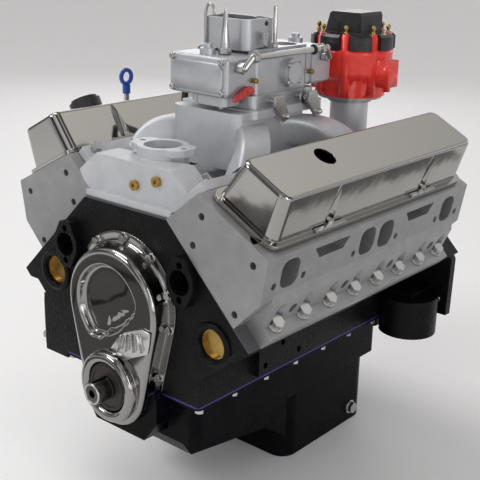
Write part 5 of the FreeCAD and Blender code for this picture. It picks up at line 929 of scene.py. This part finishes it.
# %% [markdown]
# ### The stamped timing cover
# The cover is one sheet pressed between dies: a flange, a rounded wall, a raised crown and a
# dish that narrows downwards. Each die line is a loop round two circles, one at the neck and
# one at the crown, so the first helper walks round both and spaces its points evenly.

# %% Loops round two circles
LOOP_POINTS = 120
DENSE_POINTS = 2880
NO_LENGTH = 1e-9


def loop_round(low, high):
    """Evenly spaced points round two circles (x, z, radius), starting at the top."""
    dense = []
    for step in range(DENSE_POINTS):
        turn = 2 * math.pi * step / DENSE_POINTS
        away = (math.sin(turn), math.cos(turn))
        x, z, radius = max((low, high), key=lambda spot: spot[0] * away[0] + spot[1] * away[1] + spot[2])
        dense.append((x + radius * away[0], z + radius * away[1]))
    lengths = [0.0]
    for first, second in zip(dense, dense[1:] + dense[:1]):
        lengths.append(lengths[-1] + math.dist(first, second))
    spots = []
    place = 0
    for step in range(LOOP_POINTS):
        target = lengths[-1] * step / LOOP_POINTS
        while lengths[place + 1] < target:
            place += 1
        share = (target - lengths[place]) / max(lengths[place + 1] - lengths[place], NO_LENGTH)
        first = dense[place]
        second = dense[(place + 1) % DENSE_POINTS]
        spots.append((first[0] + share * (second[0] - first[0]), first[1] + share * (second[1] - first[1])))
    return spots


print("points in a loop:", LOOP_POINTS)

# %% [markdown]
# ### The wall's press lines
# From the block's face forwards, the sheet is a flat flange, a wall with a step in it, and a
# round shoulder. Each line says how far out of the crown it stands, how deep it lies from the
# block's face, how far the crown has dropped there, and how far out of the neck it stands.

# %% Lines of the flange and the wall
BLOCK_FRONT = -518
NECK = (0, 0, 52)
CROWN = (0, 119, 80)
WALL_LINES = ((13, 0.3, 0, 13), (13, -3, 0, 13), (5, -3, 1, 4), (2, -4, 2, 1), (1, -7, 3, 0),
              (2, -16.5, 5, 0), (2.2, -19.5, 6, 4.5), (2.5, -25, 7, 6), (2, -28.5, 7.5, 5.5),
              (0, -30.5, 8, 3.5), (-3, -31.2, 8, 0), (-6, -31.2, 8, -3))


def grown(circle, by, drop=0):
    return circle[0], circle[1] - drop, circle[2] + by


press_lines = [(loop_round(grown(NECK, neck_by), grown(CROWN, by, drop)), BLOCK_FRONT + y)
               for by, y, drop, neck_by in WALL_LINES]
print("wall lines:", len(press_lines))

# %% [markdown]
# ### The dish's press lines
# The dish is round above and drawn in below. Its reach from its middle is given at a few
# angles, clockwise from straight up, and eased from one to the next. Later lines shrink it and
# push it back, and the last ones fill it with a shallow dome.

# %% Lines of the dish and its dome
DISH_AT = (-9, 114)
DISH_REACH = ((0, 57), (40, 58), (72, 59), (86, 55), (100, 46), (120, 39), (150, 38), (178, 41),
              (196, 52), (214, 59), (236, 56), (270, 55), (315, 55), (360, 57))
DISH_LINES = ((4, -31.2), (1.5, -31.0), (0, -30.2), (-1.2, -28), (-2.4, -24), (-4, -21.8),
              (-7, -20.9), (-12, -20.8))
DOME_LINES = ((0.8, -21.6), (0.6, -22.3), (0.4, -22.8), (0.2, -23.1))


def dish_line(by):
    """The dish's outline, moved out by a distance, on the same angles as the crown's points."""
    spots = []
    for x, z in loop_round(NECK, CROWN):
        angle = math.degrees(math.atan2(x - DISH_AT[0], z - DISH_AT[1])) % 360
        for (start, reach), (end, next_reach) in zip(DISH_REACH, DISH_REACH[1:]):
            if start <= angle <= end:
                share = (angle - start) / (end - start)
                share = share * share * (3 - 2 * share)
                away = reach + share * (next_reach - reach) + by
        turn = math.radians(angle)
        spots.append((DISH_AT[0] + away * math.sin(turn), DISH_AT[1] + away * math.cos(turn)))
    return spots


press_lines += [(dish_line(by), BLOCK_FRONT + y) for by, y in DISH_LINES]
dish = press_lines[-1][0]
middle_x = sum(x for x, z in dish) / LOOP_POINTS
middle_z = sum(z for x, z in dish) / LOOP_POINTS
for share, y in DOME_LINES:
    shrunk = [(middle_x + share * (x - middle_x), middle_z + share * (z - middle_z)) for x, z in dish]
    press_lines.append((shrunk, BLOCK_FRONT + y))
print("cover lines:", len(press_lines))

# %% [markdown]
# ### From press lines to a sheet
# A primitive can't give this sweep of curves, so the sheet's faces are listed loop by loop, from
# the flange to the middle of the dish. The faces are turned to look forwards, and a Solidify
# modifier gives the sheet its thickness towards the inside.

# %% The sheet
SHEET_THICK = 1.6
DOME_TIP = 0.4


def lofted(name, loops):
    """A sheet through loops of (points, y), closed by one point at the last loop's middle."""
    corners = [point(x, y, z) for spots, y in loops for x, z in spots]
    faces = []
    for ring in range(len(loops) - 1):
        near = ring * LOOP_POINTS
        far = near + LOOP_POINTS
        for step in range(LOOP_POINTS):
            ahead = (step + 1) % LOOP_POINTS
            faces.append((near + step, near + ahead, far + ahead, far + step))
    last, y = loops[-1]
    corners.append(point(sum(x for x, z in last) / LOOP_POINTS, y - DOME_TIP,
                         sum(z for x, z in last) / LOOP_POINTS))
    base = (len(loops) - 1) * LOOP_POINTS
    faces += [(base + step, base + (step + 1) % LOOP_POINTS, len(corners) - 1)
              for step in range(LOOP_POINTS)]
    mesh = bpy.data.meshes.new(name)
    mesh.from_pydata(corners, [], faces)
    sheet = bpy.data.objects.new(name, mesh)
    bpy.context.scene.collection.objects.link(sheet)
    return sheet


cover_sheet = lofted("stamped_sheet", press_lines)
opened(cover_sheet)
outward()
bpy.ops.object.mode_set(mode="OBJECT")
flattest = max(cover_sheet.data.polygons, key=lambda face: abs(face.normal.y))
if flattest.normal.y > 0:
    opened(cover_sheet)
    bpy.ops.mesh.flip_normals()
    bpy.ops.object.mode_set(mode="OBJECT")
sheet_metal = cover_sheet.modifiers.new("sheet_metal", "SOLIDIFY")
sheet_metal.thickness = SHEET_THICK * MM
sheet_metal.offset = -1
bpy.ops.object.modifier_apply(modifier="sheet_metal")
print("faces on the sheet:", len(cover_sheet.data.polygons))

# %% [markdown]
# ### The seal boss
# Round the crankshaft's snout the cover swells into a round boss that holds the seal. It is
# turned from ten rings, joined to the sheet, and plated in a slightly darker copy of the cover
# chrome, painted shade for the cover's dark reflections. Sheet and boss together stand in for
# the imported cover.

# %% Seal boss and cover
BOSS_RINGS = ((50.5, 0), (50.5, 9), (50, 12), (48, 14.6), (45, 15.8), (41, 15.8), (38, 14.8),
              (36, 12.5), (35, 9), (34.6, 2))
BOSS_SIDES = 72
BOSS_Y = -546
COVER_SMOOTH_ANGLE = 50

# The cover chrome made darker: painted shade for the cover's dark reflections.
darkened_chrome_copy = plated("shaded_cover_chrome", (0.30, 0.295, 0.285), smooth=0.05, rough=0.09, ripple=0.00010)
seal_boss = placed(turned("seal_boss", BOSS_RINGS, BOSS_SIDES), (0, BOSS_Y, 0), FORWARD)
timing_front = finished(joined("stamped_timing_cover", [cover_sheet, seal_boss]), darkened_chrome_copy,
                        smooth=COVER_SMOOTH_ANGLE)
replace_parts(timing_front, "timing_cover")
print("faces on the whole cover:", len(timing_front.data.polygons))

# %% [markdown]
# ### The seal's lip and the snout's rim
# A thin red lip shows inside the boss, and the snout's end has a bright worn rim. Both are
# rings, and the rim turns with the crankshaft.

# %% Seal lip and snout rim
LIP_RADIUS = 29.5
LIP_THICK = 1.3
LIP_Y = -557.2
RIM_RADIUS = 13.4
RIM_THICK = 1.7
RIM_Y = -583.6

seal_lip = placed(hoop("seal_lip", LIP_RADIUS, LIP_THICK), (0, LIP_Y, 0), FORWARD)
finished(seal_lip, seal_rubber)
snout_lip = placed(hoop("snout_lip", RIM_RADIUS, RIM_THICK), (0, RIM_Y, 0), FORWARD)
finished(snout_lip, zinc_plate, body="crankshaft")
print("lip and rim at", LIP_Y, RIM_Y)

# %% [markdown]
# ### Bosses round the front plugs
# The foundry left a thick ring round each brass core plug on the block's front face. A ring that
# is half sunk into the face looks cast in one with it.

# %% Plug bosses
PLUG_SPOTS = ((155, 98), (-146, 122))
PLUG_RING_RADIUS = 25.5
PLUG_RING_THICK = 4.6
PLUG_RING_SINK = 0.5

rims = []
for x, z in PLUG_SPOTS:
    rim = hoop("plug_rim", PLUG_RING_RADIUS, PLUG_RING_THICK, around=64, across=14)
    rims.append(placed(rim, (x, BLOCK_FRONT - PLUG_RING_SINK, z), FORWARD))
finished(joined("core_plug_bosses", rims), black_iron)
print("plug bosses:", len(rims))

# %% [markdown]
# ### The timing pointer
# A small plated tab is bolted over the cover's neck, with four raised fins that the timing is
# read against. The tab is a plate cut to outline, and the fins are one narrow plate copied and
# fanned out.

# %% Pointer tab and fins
TAB_OUTLINE = ((16, 50), (29, 46), (47, 57), (74, 70), (77, 84), (79, 100), (62, 102), (32, 89),
               (16, 74), (4, 58))
TAB_THICK = 2.2
TAB_BEVEL = 0.5
TAB_Y = -550.4
FIN_OUTLINE = ((-1.2, -13), (1.2, -13), (1.2, 13), (-1.2, 13))
FIN_TALL = 7
FIN_BEVEL = 0.4
FIN_Y = -551.8
# Each fin's (x, z) and its lean in degrees.
FINS = ((26, 74, -20), (38, 77, -8), (50, 80, 4), (62, 83, 16))
TAB_SMOOTH_ANGLE = 25

tab = plate("pointer_tab", TAB_OUTLINE, TAB_THICK, TAB_BEVEL)
moved(tab, Matrix.Translation(point(0, TAB_Y, 0)) @ Matrix.Rotation(QUARTER_TURN, 4, "X"))
fin_pattern = plate("fin_pattern", FIN_OUTLINE, FIN_TALL, FIN_BEVEL)
fins = [copied(fin_pattern, (x, FIN_Y, z), FORWARD, math.radians(lean)) for x, z, lean in FINS]
thrown_away(fin_pattern)
finished(joined("timing_pointer", [tab] + fins), zinc_plate, smooth=TAB_SMOOTH_ANGLE)
print("pointer fins:", len(fins))
